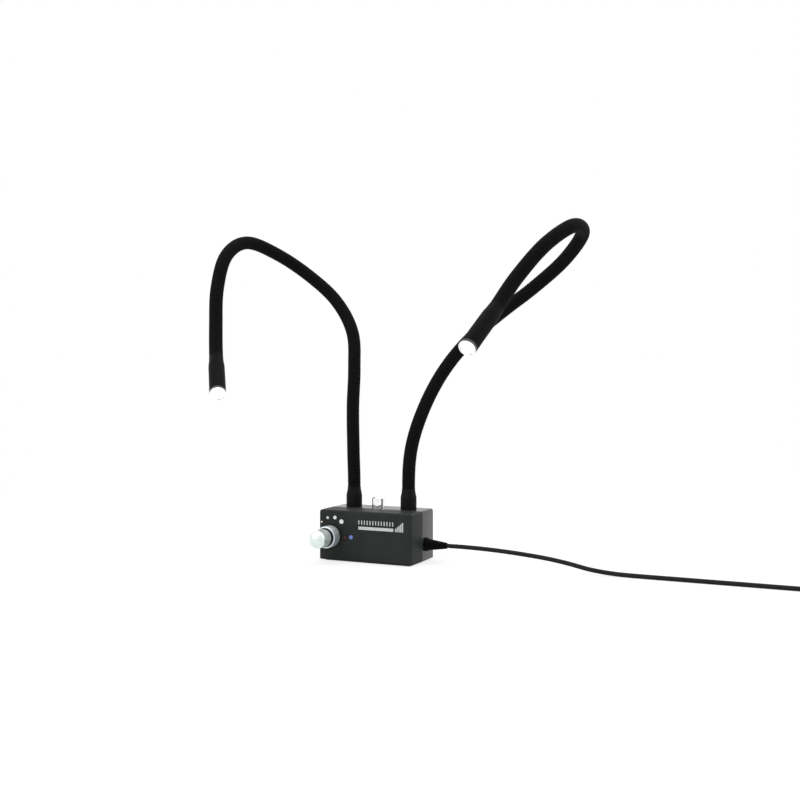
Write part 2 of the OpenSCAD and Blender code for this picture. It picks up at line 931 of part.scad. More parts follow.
module panel_led(x, z, d, tint) {
    leg_r = 0.25;
    flange_t = 1;
    body_y = panel_y + 5.5;
    color(tint) {
        rod_y(x, z, face_y, body_y, d);
        rod_y(x, z, panel_y, panel_y + flange_t, d + 1);
        facing_front(x, face_y, z)
            rotate_extrude()
                intersection() {
                    circle(r = d / 2);
                    square([d / 2, d / 4]);
                }
        for (i = [-1, 1])
            rod_y(x + i * d / 4, z, body_y - 1, board_y, 2 * leg_r);
    }
}

module power_led() {
    panel_led(power_led_x, power_led_z, power_led_d, [0.35, 0.45, 0.95]);
}

module status_led() {
    panel_led(status_led_x, status_led_z, status_led_d, [0.3, 0.1, 0.14]);
}

module scale_dots() {
    color([0.88, 0.89, 0.88])
        for (i = [0 : dot_count - 1])
            let (a = dot_turn + (i - (dot_count - 1) / 2) * dot_step)
                facing_front(dot_x + dot_arc * sin(a), face_y, dot_z + dot_arc * cos(a))
                    cylinder(h = ink_t, d = dot_first_d + i * dot_growth);
}

// A plain rule under a row of even ticks, then bars that grow towards the right
module panel_print() {
    rule_h = 3;
    ticks = 13;
    tick_w = 1;
    tick_h = 4;
    tick_rise = 5;
    bars = 5;
    bar_step = 1.8;
    bar_w = 1.2;
    bar_h = 3;
    bar_growth = 1.5;
    print_gap = 2;
    print_left = power_led_x + 8;
    print_right = case_w / 2 - 9;
    rule_w = print_right - print_left - print_gap - (bars - 1) * bar_step - bar_w;
    color([0.8, 0.81, 0.8])
        translate([print_left, face_y - ink_t, control_z + 7.7]) {
            cube([rule_w, ink_t, rule_h]);
            for (i = [0 : ticks - 1])
                translate([i * (rule_w - tick_w) / (ticks - 1), 0, tick_rise])
                    cube([tick_w, ink_t, tick_h]);
            for (i = [0 : bars - 1])
                translate([rule_w + print_gap + bar_step * i, 0, 0])
                    cube([bar_w, ink_t, bar_h + bar_growth * i]);
        }
}

// Lead

module strain_relief() {
    flange = 2;
    tip = boot_tip_d / 2;
    neck = boot_neck_d / 2;
    lip = 3;
    color([0.05, 0.05, 0.05])
        translate([boot_x, cord_y, cord_z])
            rotate([0, 90, 0])
                rotate_extrude()
                    polygon([
                        [0, -boot_seat - lip], [neck + 1, -boot_seat - lip], [neck + 1, -boot_seat],
                        [neck, -boot_seat], [neck, 0], [boot_d / 2, 0], [boot_d / 2, flange],
                        [boot_d / 2 - 1, flange + 1], [tip + 0.6, boot_len - lip],
                        [tip, boot_len], [0, boot_len]
                    ]);
}

module cord_lead() {
    f = frames(lead_ends, lead_steps * (len(lead_points) - 1), lead_steps, [0, 1, 0]);
    color([0.17, 0.17, 0.17])
        ring_rod([for (q = f) ring(q, 0, cord_r, cord_sides)]);
}

module cord_coil() {
    f = frames(coil_ends, len(coil_points) - 1, 1, [0, 0, 1]);
    color([0.17, 0.17, 0.17])
        ring_rod([for (q = f) ring(q, 0, cord_r, coil_sides)]);
}

module coil_tie() {
    inside = coil_inner - cord_r - 2 * seat;
    outside = coil_r + cord_r + 2 * seat;
    low = coil_z - cord_r - seat;
    high = coil_z + coil_step + cord_r + seat;
    color([0.08, 0.08, 0.08])
        translate([coil_x, coil_y, 0])
            rotate([0, 0, 225])
                translate([0, -tie_w / 2, 0])
                    difference() {
                        translate([inside - tie_t, 0, low - tie_t])
                            cube([outside - inside + 2 * tie_t, tie_w, high - low + 2 * tie_t]);
                        translate([inside, -over, low])
                            cube([outside - inside, tie_w + 2 * over, high - low]);
                    }
}

module plug_body() {
    color([0.07, 0.07, 0.07])
        translate([coil_out[0], plug_y, plug_z])
            rotate([90, 0, 0])
                rotate_extrude()
                    polygon([
                        [0, 0], [cord_r + 1, 0], [plug_r - 1, plug_boot_len], [plug_r, plug_boot_len + 1],
                        [plug_r, plug_boot_len + plug_len], [0, plug_boot_len + plug_len]
                    ]);
}

module plug_barrel() {
    color([0.8, 0.8, 0.8])
        translate([coil_out[0], plug_y - plug_boot_len - plug_len, plug_z])
            rotate([90, 0, 0])
                difference() {
                    cylinder(h = plug_barrel_len, d = plug_barrel_d);
                    translate([0, 0, 1])
                        cylinder(h = plug_barrel_len, d = plug_bore_d);
                }
}

front_shell();
rear_shell();
base_pad();
ballast_plate();
case_screws();
mounting_spigot();
spigot_screw();
neck_ferrules();
ferrule_nuts();
circuit_board();
board_screws();
power_inductor();
smoothing_capacitors();
driver_chip();
board_sockets();
dimmer_pot();
pot_nut();
pot_shaft();
knob_hub();
knob_skirt();
knob_cap();
knob_screw();
power_led();
status_led();
scale_dots();
panel_print();
strain_relief();
cord_lead();
cord_coil();
coil_tie();
plug_body();
plug_barrel();
for (s = sides) {
    base_sleeve(s);
    for (j = [1 : links])
        neck_link(s, j);
    head_sleeve(s);
    lamp_housing(s);
    led_board(s);
    led_emitter(s);
    lens(s);
}
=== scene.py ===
import math

import bmesh
import bpy
from mathutils import Matrix, Vector


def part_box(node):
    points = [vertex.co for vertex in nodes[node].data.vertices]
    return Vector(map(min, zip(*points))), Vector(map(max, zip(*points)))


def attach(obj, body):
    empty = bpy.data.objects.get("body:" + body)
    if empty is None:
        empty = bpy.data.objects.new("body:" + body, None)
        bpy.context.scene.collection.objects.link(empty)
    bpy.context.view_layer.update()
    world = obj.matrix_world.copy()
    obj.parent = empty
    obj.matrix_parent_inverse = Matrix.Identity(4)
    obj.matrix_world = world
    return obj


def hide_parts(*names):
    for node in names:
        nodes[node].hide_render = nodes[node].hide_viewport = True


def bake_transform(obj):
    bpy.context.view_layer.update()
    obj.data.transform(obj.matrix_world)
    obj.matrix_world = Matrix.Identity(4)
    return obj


# Gooseneck lamp: looks of the case, knob, necks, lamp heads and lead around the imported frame, in metres

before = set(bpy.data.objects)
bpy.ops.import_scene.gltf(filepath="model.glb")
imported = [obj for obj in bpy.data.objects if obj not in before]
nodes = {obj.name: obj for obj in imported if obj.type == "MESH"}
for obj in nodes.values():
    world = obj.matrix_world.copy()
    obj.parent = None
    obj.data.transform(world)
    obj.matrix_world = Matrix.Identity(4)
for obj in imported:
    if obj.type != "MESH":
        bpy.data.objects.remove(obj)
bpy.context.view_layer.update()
mm = 0.001


# Hand tools

def clearSelection():
    if bpy.context.object and bpy.context.object.mode != "OBJECT":
        bpy.ops.object.mode_set(mode="OBJECT")
    bpy.ops.object.select_all(action="DESELECT")


def activate(piece):
    clearSelection()
    piece.select_set(True)
    bpy.context.view_layer.objects.active = piece


def namePiece(name):
    piece = bpy.context.object
    piece.name = name
    piece.data.name = name
    bpy.ops.object.transform_apply(location=True, rotation=True, scale=True)
    return piece


def startEdit(piece, kind):
    activate(piece)
    bpy.ops.object.mode_set(mode="EDIT")
    bpy.ops.mesh.select_mode(type=kind)
    bpy.ops.mesh.select_all(action="DESELECT")
    return bmesh.from_edit_mesh(piece.data)


def endEdit():
    bpy.ops.object.mode_set(mode="OBJECT")


def pick(piece, shape, items, test):
    for item in items:
        item.select_set(bool(test(item)))
    shape.select_flush_mode()
    bmesh.update_edit_mesh(piece.data)


# Rounds or chamfers the edges that pass a test
def bevelWhere(piece, test, radius, segments):
    shape = startEdit(piece, "EDGE")
    pick(piece, shape, shape.edges, test)
    bpy.ops.mesh.bevel(offset=radius, segments=segments, affect="EDGES")
    endEdit()


def middle(edge):
    return (edge.verts[0].co + edge.verts[1].co) / 2


def reachY(edge):
    return abs(edge.verts[0].co.y - edge.verts[1].co.y)


def tidyMesh(piece):
    startEdit(piece, "VERT")
    bpy.ops.mesh.select_all(action="SELECT")
    bpy.ops.mesh.remove_doubles(threshold=1e-6)
    bpy.ops.mesh.normals_make_consistent(inside=False)
    endEdit()


def smoothShade(piece, angle=35):
    activate(piece)
    bpy.ops.object.shade_smooth_by_angle(angle=math.radians(angle))


def addModifier(piece, kind, **values):
    modifier = piece.modifiers.new(kind.title(), kind)
    for key, value in values.items():
        setattr(modifier, key, value)
    activate(piece)
    bpy.ops.object.modifier_apply(modifier=modifier.name)


def cutWith(piece, tool, operation="DIFFERENCE"):
    addModifier(piece, "BOOLEAN", object=tool, operation=operation, solver="EXACT")
    bpy.data.objects.remove(tool)


def copyPiece(piece, name):
    copied = piece.copy()
    copied.data = piece.data.copy()
    copied.name = name
    copied.data.name = name
    bpy.context.scene.collection.objects.link(copied)
    return copied


# Rings stacked along Z from a circle, by extruding and resizing: (radius, height) for each ring
def stackRings(name, rings, sides=64, ends="fill"):
    clearSelection()
    radius, height = rings[0]
    bpy.ops.mesh.primitive_circle_add(vertices=sides, radius=radius, location=(0, 0, height))
    piece = namePiece(name)
    startEdit(piece, "EDGE")
    bpy.ops.mesh.select_all(action="SELECT")
    for nextRadius, nextHeight in rings[1:]:
        grow = nextRadius / radius
        bpy.ops.mesh.extrude_edges_move(TRANSFORM_OT_translate={"value": (0, 0, nextHeight - height)})
        bpy.ops.transform.resize(value=(grow, grow, 1), center_override=(0, 0, nextHeight))
        radius, height = nextRadius, nextHeight
    bpy.ops.mesh.select_all(action="DESELECT")
    bpy.ops.mesh.select_non_manifold()
    if ends == "fill":
        bpy.ops.mesh.fill_holes(sides=0)
    if ends == "bridge":
        bpy.ops.mesh.bridge_edge_loops()
    endEdit()
    tidyMesh(piece)
    return piece


# Rings that ease from one radius to another
def easeRings(r0, z0, r1, z1, count):
    rings = []
    for i in range(count + 1):
        t = i / count
        rings.append((r0 + (r1 - r0) * t * t * (3 - 2 * t), z0 + (z1 - z0) * t))
    return rings


# Rings round a quarter edge, from one angle to another
def roundRings(r, z, radius, fromAngle, toAngle, count=5):
    rings = []
    for i in range(count + 1):
        a = math.radians(fromAngle + (toAngle - fromAngle) * i / count)
        rings.append((r + radius * math.cos(a), z + radius * math.sin(a)))
    return rings


def rod(name, radius, low, high, sides=48):
    return stackRings(name, [(radius, low), (radius, high)], sides)


def facingFront(x, y, z):
    return Matrix.Translation((x, y, z)) @ Matrix.Rotation(math.radians(90), 4, "X")


def facingRight(x, y, z):
    return Matrix.Translation((x, y, z)) @ Matrix.Rotation(math.radians(90), 4, "Y")


def nodeCenter(name):
    low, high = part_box(name)
    return (low + high) / 2


def nodeSize(name):
    low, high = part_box(name)
    return high - low


# A smooth line through the inner points; the first and last only set the end directions
def smoothLine(points, perSpan):
    p = [Vector(q) for q in points]
    line = []
    for i in range(len(p) - 3):
        a, b, c, d = p[i:i + 4]
        for k in range(perSpan):
            t = k / perSpan
            line.append(b + t * (c - a) / 2 + t * t * (2 * a - 5 * b + 4 * c - d) / 2
                        + t ** 3 * (3 * b - a - 3 * c + d) / 2)
    line.append(p[-2])
    return line


def drawLine(name, points):
    curve = bpy.data.curves.new(name, "CURVE")
    curve.dimensions = "3D"
    spline = curve.splines.new("POLY")
    spline.points.add(len(points) - 1)
    for point, place in zip(spline.points, points):
        point.co = (*place, 1)
    line = bpy.data.objects.new(name, curve)
    bpy.context.scene.collection.objects.link(line)
    return line


# Camera

viewPoint = {
    "place": (0.43221, -0.88489, 0.1709),
    "turn": 24.644,     # degrees about Z
    "down": 0.785,      # degrees below level
    "lens": 45.0,
    "sensor": 36.0,
}


def addCamera(s):
    clearSelection()
    angles = (math.radians(90 - s["down"]), 0, math.radians(s["turn"]))
    bpy.ops.object.camera_add(location=s["place"], rotation=angles)
    camera = bpy.context.object
    camera.data.lens = s["lens"]
    camera.data.sensor_width = s["sensor"]
    bpy.context.scene.camera = camera


addCamera(viewPoint)
print("camera placed")


# Finishes

def tone(r, g, b):
    def linear(v):
        v = v / 255
        return v / 12.92 if v <= 0.04045 else ((v + 0.055) / 1.055) ** 2.4
    return (linear(r), linear(g), linear(b), 1)


def setInputs(node, values):
    for label, value in values.items():
        node.inputs[label].default_value = value


def addColorMix(add):
    mix = add("ShaderNodeMix")
    mix.data_type = "RGBA"
    return mix


def newMaterial(name):
    material = bpy.data.materials.new(name)
    material.use_nodes = True
    return material, material.node_tree.nodes.new, material.node_tree.links.new


def newGroup(name, inputs, outputs):
    group = bpy.data.node_groups.new(name, "ShaderNodeTree")
    for label, kind in inputs:
        group.interface.new_socket(label, in_out="INPUT", socket_type="NodeSocket" + kind)
    for label, kind in outputs:
        group.interface.new_socket(label, in_out="OUTPUT", socket_type="NodeSocket" + kind)
    return group, group.nodes.new("NodeGroupInput"), group.nodes.new("NodeGroupOutput")


# Fine grain, and broad patches that shift colour and roughness
def buildPatchGroup():
    group, given, made = newGroup(
        "finishPatches",
        [("Color", "Color"), ("Shade", "Color"), ("Rough Low", "Float"), ("Rough High", "Float"),
         ("Grain Scale", "Float"), ("Patch Scale", "Float")],
        [("Color", "Color"), ("Roughness", "Float"), ("Grain", "Float")])
    add, link = group.nodes.new, group.links.new
    place = add("ShaderNodeTexCoord")
    grain = add("ShaderNodeTexNoise")
    grain.inputs["Detail"].default_value = 3
    patch = add("ShaderNodeTexNoise")
    patch.inputs["Detail"].default_value = 4
    spread = add("ShaderNodeMapRange")
    setInputs(spread, {"From Min": 0.36, "From Max": 0.64})
    color = addColorMix(add)
    rough = add("ShaderNodeMix")
    link(place.outputs["Object"], grain.inputs["Vector"])
    link(place.outputs["Object"], patch.inputs["Vector"])
    link(given.outputs["Grain Scale"], grain.inputs["Scale"])
    link(given.outputs["Patch Scale"], patch.inputs["Scale"])
    link(patch.outputs["Fac"], spread.inputs["Value"])
    link(spread.outputs["Result"], color.inputs[0])
    link(given.outputs["Color"], color.inputs[6])
    link(given.outputs["Shade"], color.inputs[7])
    link(spread.outputs["Result"], rough.inputs[0])
    link(given.outputs["Rough Low"], rough.inputs[2])
    link(given.outputs["Rough High"], rough.inputs[3])
    link(color.outputs[2], made.inputs["Color"])
    link(rough.outputs[0], made.inputs["Roughness"])
    link(grain.outputs["Fac"], made.inputs["Grain"])
    return group


# Paints light and shade on ribs and knurls, from the piece's own crest attribute: the crests take a painted
# highlight or painted shade, and the grooves take painted shade
def buildCrestGroup():
    group, given, made = newGroup(
        "paintedRibShade", [("Color", "Color"), ("Crest Painted Light", "Color"), ("Groove Painted Shade", "Color")],
        [("Color", "Color")])
    add, link = group.nodes.new, group.links.new
    crest = add("ShaderNodeAttribute")
    crest.attribute_name = "crest"
    high = add("ShaderNodeMapRange")
    high.inputs["From Min"].default_value = 0.55
    low = add("ShaderNodeMapRange")
    low.inputs["From Max"].default_value = 0.5
    # The first mix paints light or shade on the crests, the second paints shade into the grooves
    crestPaintedLight = addColorMix(add)
    deep = addColorMix(add)
    link(crest.outputs["Fac"], high.inputs["Value"])
    link(crest.outputs["Fac"], low.inputs["Value"])
    link(low.outputs["Result"], deep.inputs[0])
    link(given.outputs["Groove Painted Shade"], deep.inputs[6])
    link(given.outputs["Color"], deep.inputs[7])
    link(high.outputs["Result"], crestPaintedLight.inputs[0])
    link(deep.outputs[2], crestPaintedLight.inputs[6])
    link(given.outputs["Crest Painted Light"], crestPaintedLight.inputs[7])
    link(crestPaintedLight.outputs[2], made.inputs["Color"])
    return group


patchGroup = buildPatchGroup()
crestGroup = buildCrestGroup()

# Each finish: colour and its patches, roughness from and to, grain and patches per metre, grain depth in mm
finishes = {
    "caseGrey": dict(color=(38, 41, 39), shade=(42, 45, 43), rough=(0.42, 0.5),
                     grain=2600, patch=45, depth=0.05, specular=0.075),
    "caseBack": dict(color=(34, 37, 35), shade=(38, 41, 39), rough=(0.18, 0.24),
                     grain=2600, patch=45, depth=0.02, specular=0.23),
    "padRubber": dict(color=(26, 26, 26), shade=(34, 34, 33), rough=(0.75, 0.9),
                      grain=1800, patch=60, depth=0.2),
    "ballastIron": dict(color=(70, 70, 72), shade=(52, 50, 48), rough=(0.5, 0.7),
                        grain=900, patch=90, depth=0.15, metallic=1),
    "screwSteel": dict(color=(176, 177, 178), shade=(150, 150, 148), rough=(0.26, 0.42),
                       grain=1500, patch=300, depth=0.05, metallic=1),
    "spigotChrome": dict(color=(248, 249, 248), shade=(240, 242, 241), rough=(0.06, 0.12),
                         grain=900, patch=160, depth=0.01, metallic=1),
    "ferruleSteel": dict(color=(160, 160, 160), shade=(140, 140, 138), rough=(0.3, 0.45),
                         grain=1200, patch=200, depth=0.05, metallic=1),
    "nutBrass": dict(color=(206, 178, 116), shade=(186, 156, 96), rough=(0.28, 0.4),
                     grain=1200, patch=200, depth=0.04, metallic=1),
    "shrinkBlack": dict(color=(23, 23, 24), shade=(27, 27, 28), rough=(0.36, 0.46),
                        grain=700, patch=150, depth=0.04, specular=0.03),
    # the lamp heads' tubing: the same as shrinkBlack, painted darker as painted shade
    "headShrinkShaded": dict(color=(15, 15, 16), shade=(19, 19, 20), rough=(0.36, 0.46),
                      grain=700, patch=150, depth=0.04, specular=0.01),
    "lampAlloy": dict(color=(205, 207, 208), shade=(190, 192, 193), rough=(0.2, 0.32),
                      grain=1400, patch=220, depth=0.03, metallic=1),
    "boardWhite": dict(color=(230, 230, 226), shade=(218, 218, 212), rough=(0.3, 0.4),
                       grain=1500, patch=300, depth=0.03),
    "boardGreen": dict(color=(22, 92, 52), shade=(16, 78, 44), rough=(0.32, 0.45),
                       grain=1200, patch=120, depth=0.03),
    "ferrite": dict(color=(48, 48, 50), shade=(40, 40, 42), rough=(0.55, 0.7),
                    grain=1600, patch=200, depth=0.1),
    "canSleeve": dict(color=(36, 40, 62), shade=(30, 34, 56), rough=(0.3, 0.42),
                      grain=900, patch=150, depth=0.03),
    "chipBlack": dict(color=(24, 24, 24), shade=(30, 30, 30), rough=(0.5, 0.65),
                      grain=2400, patch=250, depth=0.06),
    "socketWhite": dict(color=(228, 227, 216), shade=(220, 219, 206), rough=(0.4, 0.5),
                        grain=1200, patch=200, depth=0.03),
    "potMetal": dict(color=(150, 150, 150), shade=(132, 132, 130), rough=(0.3, 0.44),
                     grain=1200, patch=220, depth=0.05, metallic=1),
    "hubBlack": dict(color=(13, 13, 13), shade=(18, 18, 18), rough=(0.45, 0.6),
                     grain=1800, patch=200, depth=0.05),
    "inkWhite": dict(color=(226, 228, 226), shade=(208, 210, 208), rough=(0.5, 0.62),
                     grain=3000, patch=700, depth=0.05),
    "printGrey": dict(color=(196, 198, 196), shade=(176, 178, 176), rough=(0.5, 0.62),
                      grain=3000, patch=700, depth=0.05),
    "bootBlack": dict(color=(7, 7, 8), shade=(10, 10, 10), rough=(0.5, 0.66),
                      grain=1500, patch=140, depth=0.06, specular=0.03),
    "leadGrey": dict(color=(30, 30, 31), shade=(37, 37, 38), rough=(0.42, 0.52),
                     grain=900, patch=110, depth=0.04, specular=0.05),
    "tieBlack": dict(color=(20, 20, 20), shade=(26, 26, 26), rough=(0.4, 0.55),
                     grain=1500, patch=200, depth=0.04),
    "plugBlack": dict(color=(22, 22, 22), shade=(28, 28, 28), rough=(0.42, 0.56),
                      grain=1800, patch=180, depth=0.06),
    "barrelNickel": dict(color=(214, 213, 208), shade=(200, 199, 193), rough=(0.12, 0.22),
                         grain=1200, patch=300, depth=0.02, metallic=1),
}


def makeFinish(name, s):
    material, add, link = newMaterial(name)
    shader = material.node_tree.nodes["Principled BSDF"]
    patches = add("ShaderNodeGroup")
    patches.node_tree = patchGroup
    low, high = s["rough"]
    setInputs(patches, {
        "Color": tone(*s["color"]), "Shade": tone(*s["shade"]), "Rough Low": low, "Rough High": high,
        "Grain Scale": s["grain"], "Patch Scale": s["patch"]})
    bump = add("ShaderNodeBump")
    setInputs(bump, {"Strength": 1, "Distance": s["depth"] * mm})
    link(patches.outputs["Grain"], bump.inputs["Height"])
    link(bump.outputs["Normal"], shader.inputs["Normal"])
    link(patches.outputs["Roughness"], shader.inputs["Roughness"])
    link(patches.outputs["Color"], shader.inputs["Base Color"])
    setInputs(shader, {"Metallic": s.get("metallic", 0), "Specular IOR Level": s.get("specular", 0.5)})
    return material


# A finish with painted light and shade on its ribs and knurls: a painted colour on the crests and painted
# shade in the grooves
def makeCrestFinish(name, s):
    material = makeFinish(name, s)
    tree = material.node_tree
    shader = tree.nodes["Principled BSDF"]
    source = shader.inputs["Base Color"].links[0].from_socket
    crest = tree.nodes.new("ShaderNodeGroup")
    crest.node_tree = crestGroup
    setInputs(crest, {"Crest Painted Light": tone(*s["crest"]), "Groove Painted Shade": tone(*s["groove"])})
    tree.links.new(source, crest.inputs["Color"])
    tree.links.new(crest.outputs["Color"], shader.inputs["Base Color"])
    return material


# The crest and groove colours are painted light: the neck's crests get a painted highlight and its grooves
# painted shade; the knob's and skirt's knurls are painted darker as painted shade, darkest in the grooves
neckFinish = dict(color=(13, 13, 14), shade=(16, 16, 17), rough=(0.42, 0.54),
                  grain=1500, patch=90, depth=0.03, specular=0.012, crest=(21, 21, 22), groove=(6, 6, 6))
knobFinish = dict(color=(226, 236, 232), shade=(218, 229, 225), rough=(0.3, 0.4),
                  grain=1000, patch=150, depth=0.012, metallic=0.88,
                  crest=(124, 134, 133), groove=(30, 35, 35))
skirtFinish = dict(color=(214, 221, 224), shade=(204, 212, 216), rough=(0.36, 0.46),
                   grain=1000, patch=150, depth=0.012, metallic=0.8,
                   crest=(166, 173, 175), groove=(58, 63, 65))


# Painted glow: the rim of a lamp head's sleeve shines as painted light from the lamp, by the sleeve's own
# attribute
def addPaintedGlow(material, color):
    add, link = material.node_tree.nodes.new, material.node_tree.links.new
    shader = material.node_tree.nodes["Principled BSDF"]
    paintedGlow = add("ShaderNodeAttribute")
    paintedGlow.attribute_name = "paintedGlow"
    mix = addColorMix(add)
    setInputs(mix, {6: (0, 0, 0, 1), 7: tone(*color)})
    link(paintedGlow.outputs["Fac"], mix.inputs[0])
    link(mix.outputs[2], shader.inputs["Emission Color"])
    shader.inputs["Emission Strength"].default_value = 1


# A lit piece: two colours in a fine pattern, and how strongly it shines
def makeGlow(name, s):
    material, add, link = newMaterial(name)
    shader = material.node_tree.nodes["Principled BSDF"]
    place = add("ShaderNodeTexCoord")
    noise = add("ShaderNodeTexNoise")
    noise.inputs["Scale"].default_value = s["scale"]
    mix = addColorMix(add)
    setInputs(mix, {6: tone(*s["color"]), 7: tone(*s["shade"])})
    link(place.outputs["Object"], noise.inputs["Vector"])
    link(noise.outputs["Fac"], mix.inputs[0])
    link(mix.outputs[2], shader.inputs["Emission Color"])
    setInputs(shader, {
        "Base Color": tone(*s["body"]), "Emission Strength": s["strength"], "Roughness": s["rough"]})
    return material


glows = {
    "lensLit": dict(body=(235, 238, 240), color=(255, 255, 255), shade=(246, 250, 255),
                    strength=3.0, rough=0.15, scale=400),
    "emitterLit": dict(body=(250, 236, 180), color=(255, 252, 240), shade=(255, 244, 214),
                       strength=4.0, rough=0.3, scale=900),
    "ledBlueLit": dict(body=(30, 38, 70), color=(108, 130, 196), shade=(88, 108, 182),
                       strength=0.85, rough=0.25, scale=700),
    "ledRedDim": dict(body=(66, 22, 34), color=(100, 22, 38), shade=(78, 18, 30),
                      strength=0.28, rough=0.3, scale=900),
}

finishMade = {name: makeFinish(name, s) for name, s in finishes.items()}
finishMade["neckBlack"] = makeCrestFinish("neckBlack", neckFinish)
finishMade["knobChrome"] = makeCrestFinish("knobChrome", knobFinish)
finishMade["skirtSatin"] = makeCrestFinish("skirtSatin", skirtFinish)
# near-white painted glow on the rims of the head sleeves
addPaintedGlow(finishMade["headShrinkShaded"], (252, 252, 253))
finishMade.update({name: makeGlow(name, s) for name, s in glows.items()})


def dress(piece, finish):
    piece.data.materials.clear()
    piece.data.materials.append(finishMade[finish])


# What every new piece needs: its finish, the body that carries it, and the nodes that it stands for, which
# are hidden
def finishPiece(piece, finish, body, replaced):
    dress(piece, finish)
    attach(piece, body)
    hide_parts(*replaced)


# A value for each point of a piece, such as how far it lies between the root and the crest of a rib
def markPoints(piece, name, level):
    marks = piece.data.attributes.new(name, "FLOAT", "POINT")
    marks.data.foreach_set("value", [level(v.co) for v in piece.data.vertices])


print("finishes made:", len(finishMade))


# Lead: along the floor, round the put-away coil and out to the plug

leadSettings = {
    "diameter": 0.0042,
    # distance out from the strain relief's tip, and height of the lead's middle
    "route": [
        (0.000, 0.0170), (0.018, 0.0170), (0.038, 0.0165), (0.058, 0.0155), (0.078, 0.0140), (0.098, 0.0120),
        (0.118, 0.0090), (0.138, 0.0050), (0.153, 0.0032), (0.168, 0.0023), (0.188, 0.0021), (0.218, 0.0021),
        (0.248, 0.0021), (0.278, 0.0021), (0.308, 0.0021), (0.333, 0.0023), (0.353, 0.0028), (0.363, 0.0028),
    ],
    "perSpan": 4,
    "coilRadius": 0.030,
    "coilTurns": 6.25,
    "coilStep": 0.0048,     # from one turn to the next, and from one layer to the next
    "turnPoints": 36,
    # way back from the coil, and share of the drop to the plug
    "tail": [(0.010, 0.25), (0.018, 0.7), (0.025, 1.0), (0.034, 1.0)],
}


def leadLine(s):
    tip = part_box("strain_relief")[1].x
    y = nodeCenter("strain_relief").y
    line = [Vector((tip + out, y, height)) for out, height in s["route"]]
    line = [2 * line[0] - line[1], *line, 2 * line[-1] - line[-2]]
    line = smoothLine(line, s["perSpan"])
    coilX = line[-1].x + s["diameter"]
    coilY = y - s["coilRadius"]
    low = line[-1].z
    turning = s["coilTurns"] / 2
    inner = s["coilRadius"] - s["coilStep"] * turning
    for i in range(int(s["coilTurns"] * s["turnPoints"]) + 1):
        t = i / s["turnPoints"]
        r = inner + s["coilStep"] * abs(t - turning)
        climb = min(max((t - turning) * 2 + 0.5, 0), 1)
        a = math.radians(90 - 360 * t)
        line.append(Vector((coilX + r * math.cos(a), coilY + r * math.sin(a),
                            low + s["coilStep"] * climb * climb * (3 - 2 * climb))))
    end = line[-1].copy()
    plugZ = nodeCenter("plug_body").z
    tail = [Vector((end.x, end.y - back, end.z + (plugZ - end.z) * share)) for back, share in s["tail"]]
    tail = [line[-2], end, *tail, 2 * tail[-1] - tail[-2]]
    return line[:-1] + smoothLine(tail, s["perSpan"])


def makeLead(s):
    line = leadLine(s)
    lead = drawLine("lead", line)
    lead.data.bevel_depth = s["diameter"] / 2
    lead.data.bevel_resolution = 5
    lead.data.use_fill_caps = True
    finishPiece(lead, "leadGrey", "base", ["cord_lead", "cord_coil"])


# Plug: a boot that tapers onto the lead, a grip with grooves, and a hollow barrel with an insulating tip

plugSettings = {
    "boot": 0.014,
    "bootWall": 0.0004,     # at its thin end
    "bootLip": 0.0005,
    "bootStep": 0.001,      # from the boot up to the grip
    "grip": 0.022,
    "gripEnd": 0.003,       # left smooth at both ends of the grip
    "grooves": 6,
    "grooveDepth": 0.0005,
    "grooveSlope": 0.0003,
    "edge": 0.0009,
    "bore": 0.00125,
    "boreFloor": 0.001,
    "tip": 0.0015,
    "tipStep": 0.00015,
    "tipSlope": 0.0001,
    "tipRound": 0.0004,
}


def makePlug(s):
    low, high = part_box("plug_body")
    center = nodeCenter("plug_body")
    r = (high.x - low.x) / 2
    edge = s["edge"]
    start = leadSettings["diameter"] / 2 + s["bootWall"]
    rings = [(start * 0.6, 0), (start, 0)]
    rings += easeRings(start, s["bootLip"], r - s["bootStep"], s["boot"], 8)
    rings += roundRings(r - edge, s["boot"] + edge, edge, -60, 0)
    pitch = (s["grip"] - 2 * s["gripEnd"]) / s["grooves"]
    deep = r - s["grooveDepth"]
    for i in range(s["grooves"]):
        z = s["boot"] + s["gripEnd"] + i * pitch
        rings += [(r, z), (deep, z + s["grooveSlope"]), (deep, z + pitch / 2 - s["grooveSlope"]),
                  (r, z + pitch / 2)]
    end = s["boot"] + s["grip"]
    rings += roundRings(r - edge, end - edge, edge, 0, 90)
    body = stackRings("plugBody", rings, sides=48)
    body.data.transform(facingFront(center.x, high.y, center.z))
    smoothShade(body)
    finishPiece(body, "plugBlack", "base", ["plug_body"])
    low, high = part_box("plug_barrel")
    r = (high.x - low.x) / 2
    long = high.y - low.y
    bore = s["bore"]
    soft = s["tipRound"]
    tip = r - s["tipStep"]
    rings = [(r, 0), (r, long - s["tip"] - s["tipSlope"]), (tip, long - s["tip"]), (tip, long - soft)]
    rings += roundRings(tip - soft, long - soft, soft, 0, 90, 4)
    rings += roundRings(bore + soft, long - soft, soft, 90, 180, 4) + [(bore, s["boreFloor"])]
    barrel = stackRings("plugBarrel", rings, sides=40)
    barrel.data.transform(facingFront(center.x, high.y, center.z))
    smoothShade(barrel)
    finishPiece(barrel, "barrelNickel", "base", ["plug_barrel"])
    print("plug made")


# Tie: a strap that lies close around the coil where its two layers match

tieSettings = {
    "turns": 3,             # side by side under the strap
    "angle": 225,
    "inward": 0.0003,       # from the middle of the node's loop to the middle of the turns
    "width": 0.004,
    "thickness": 0.0006,
    "corner": 0.0026,
}


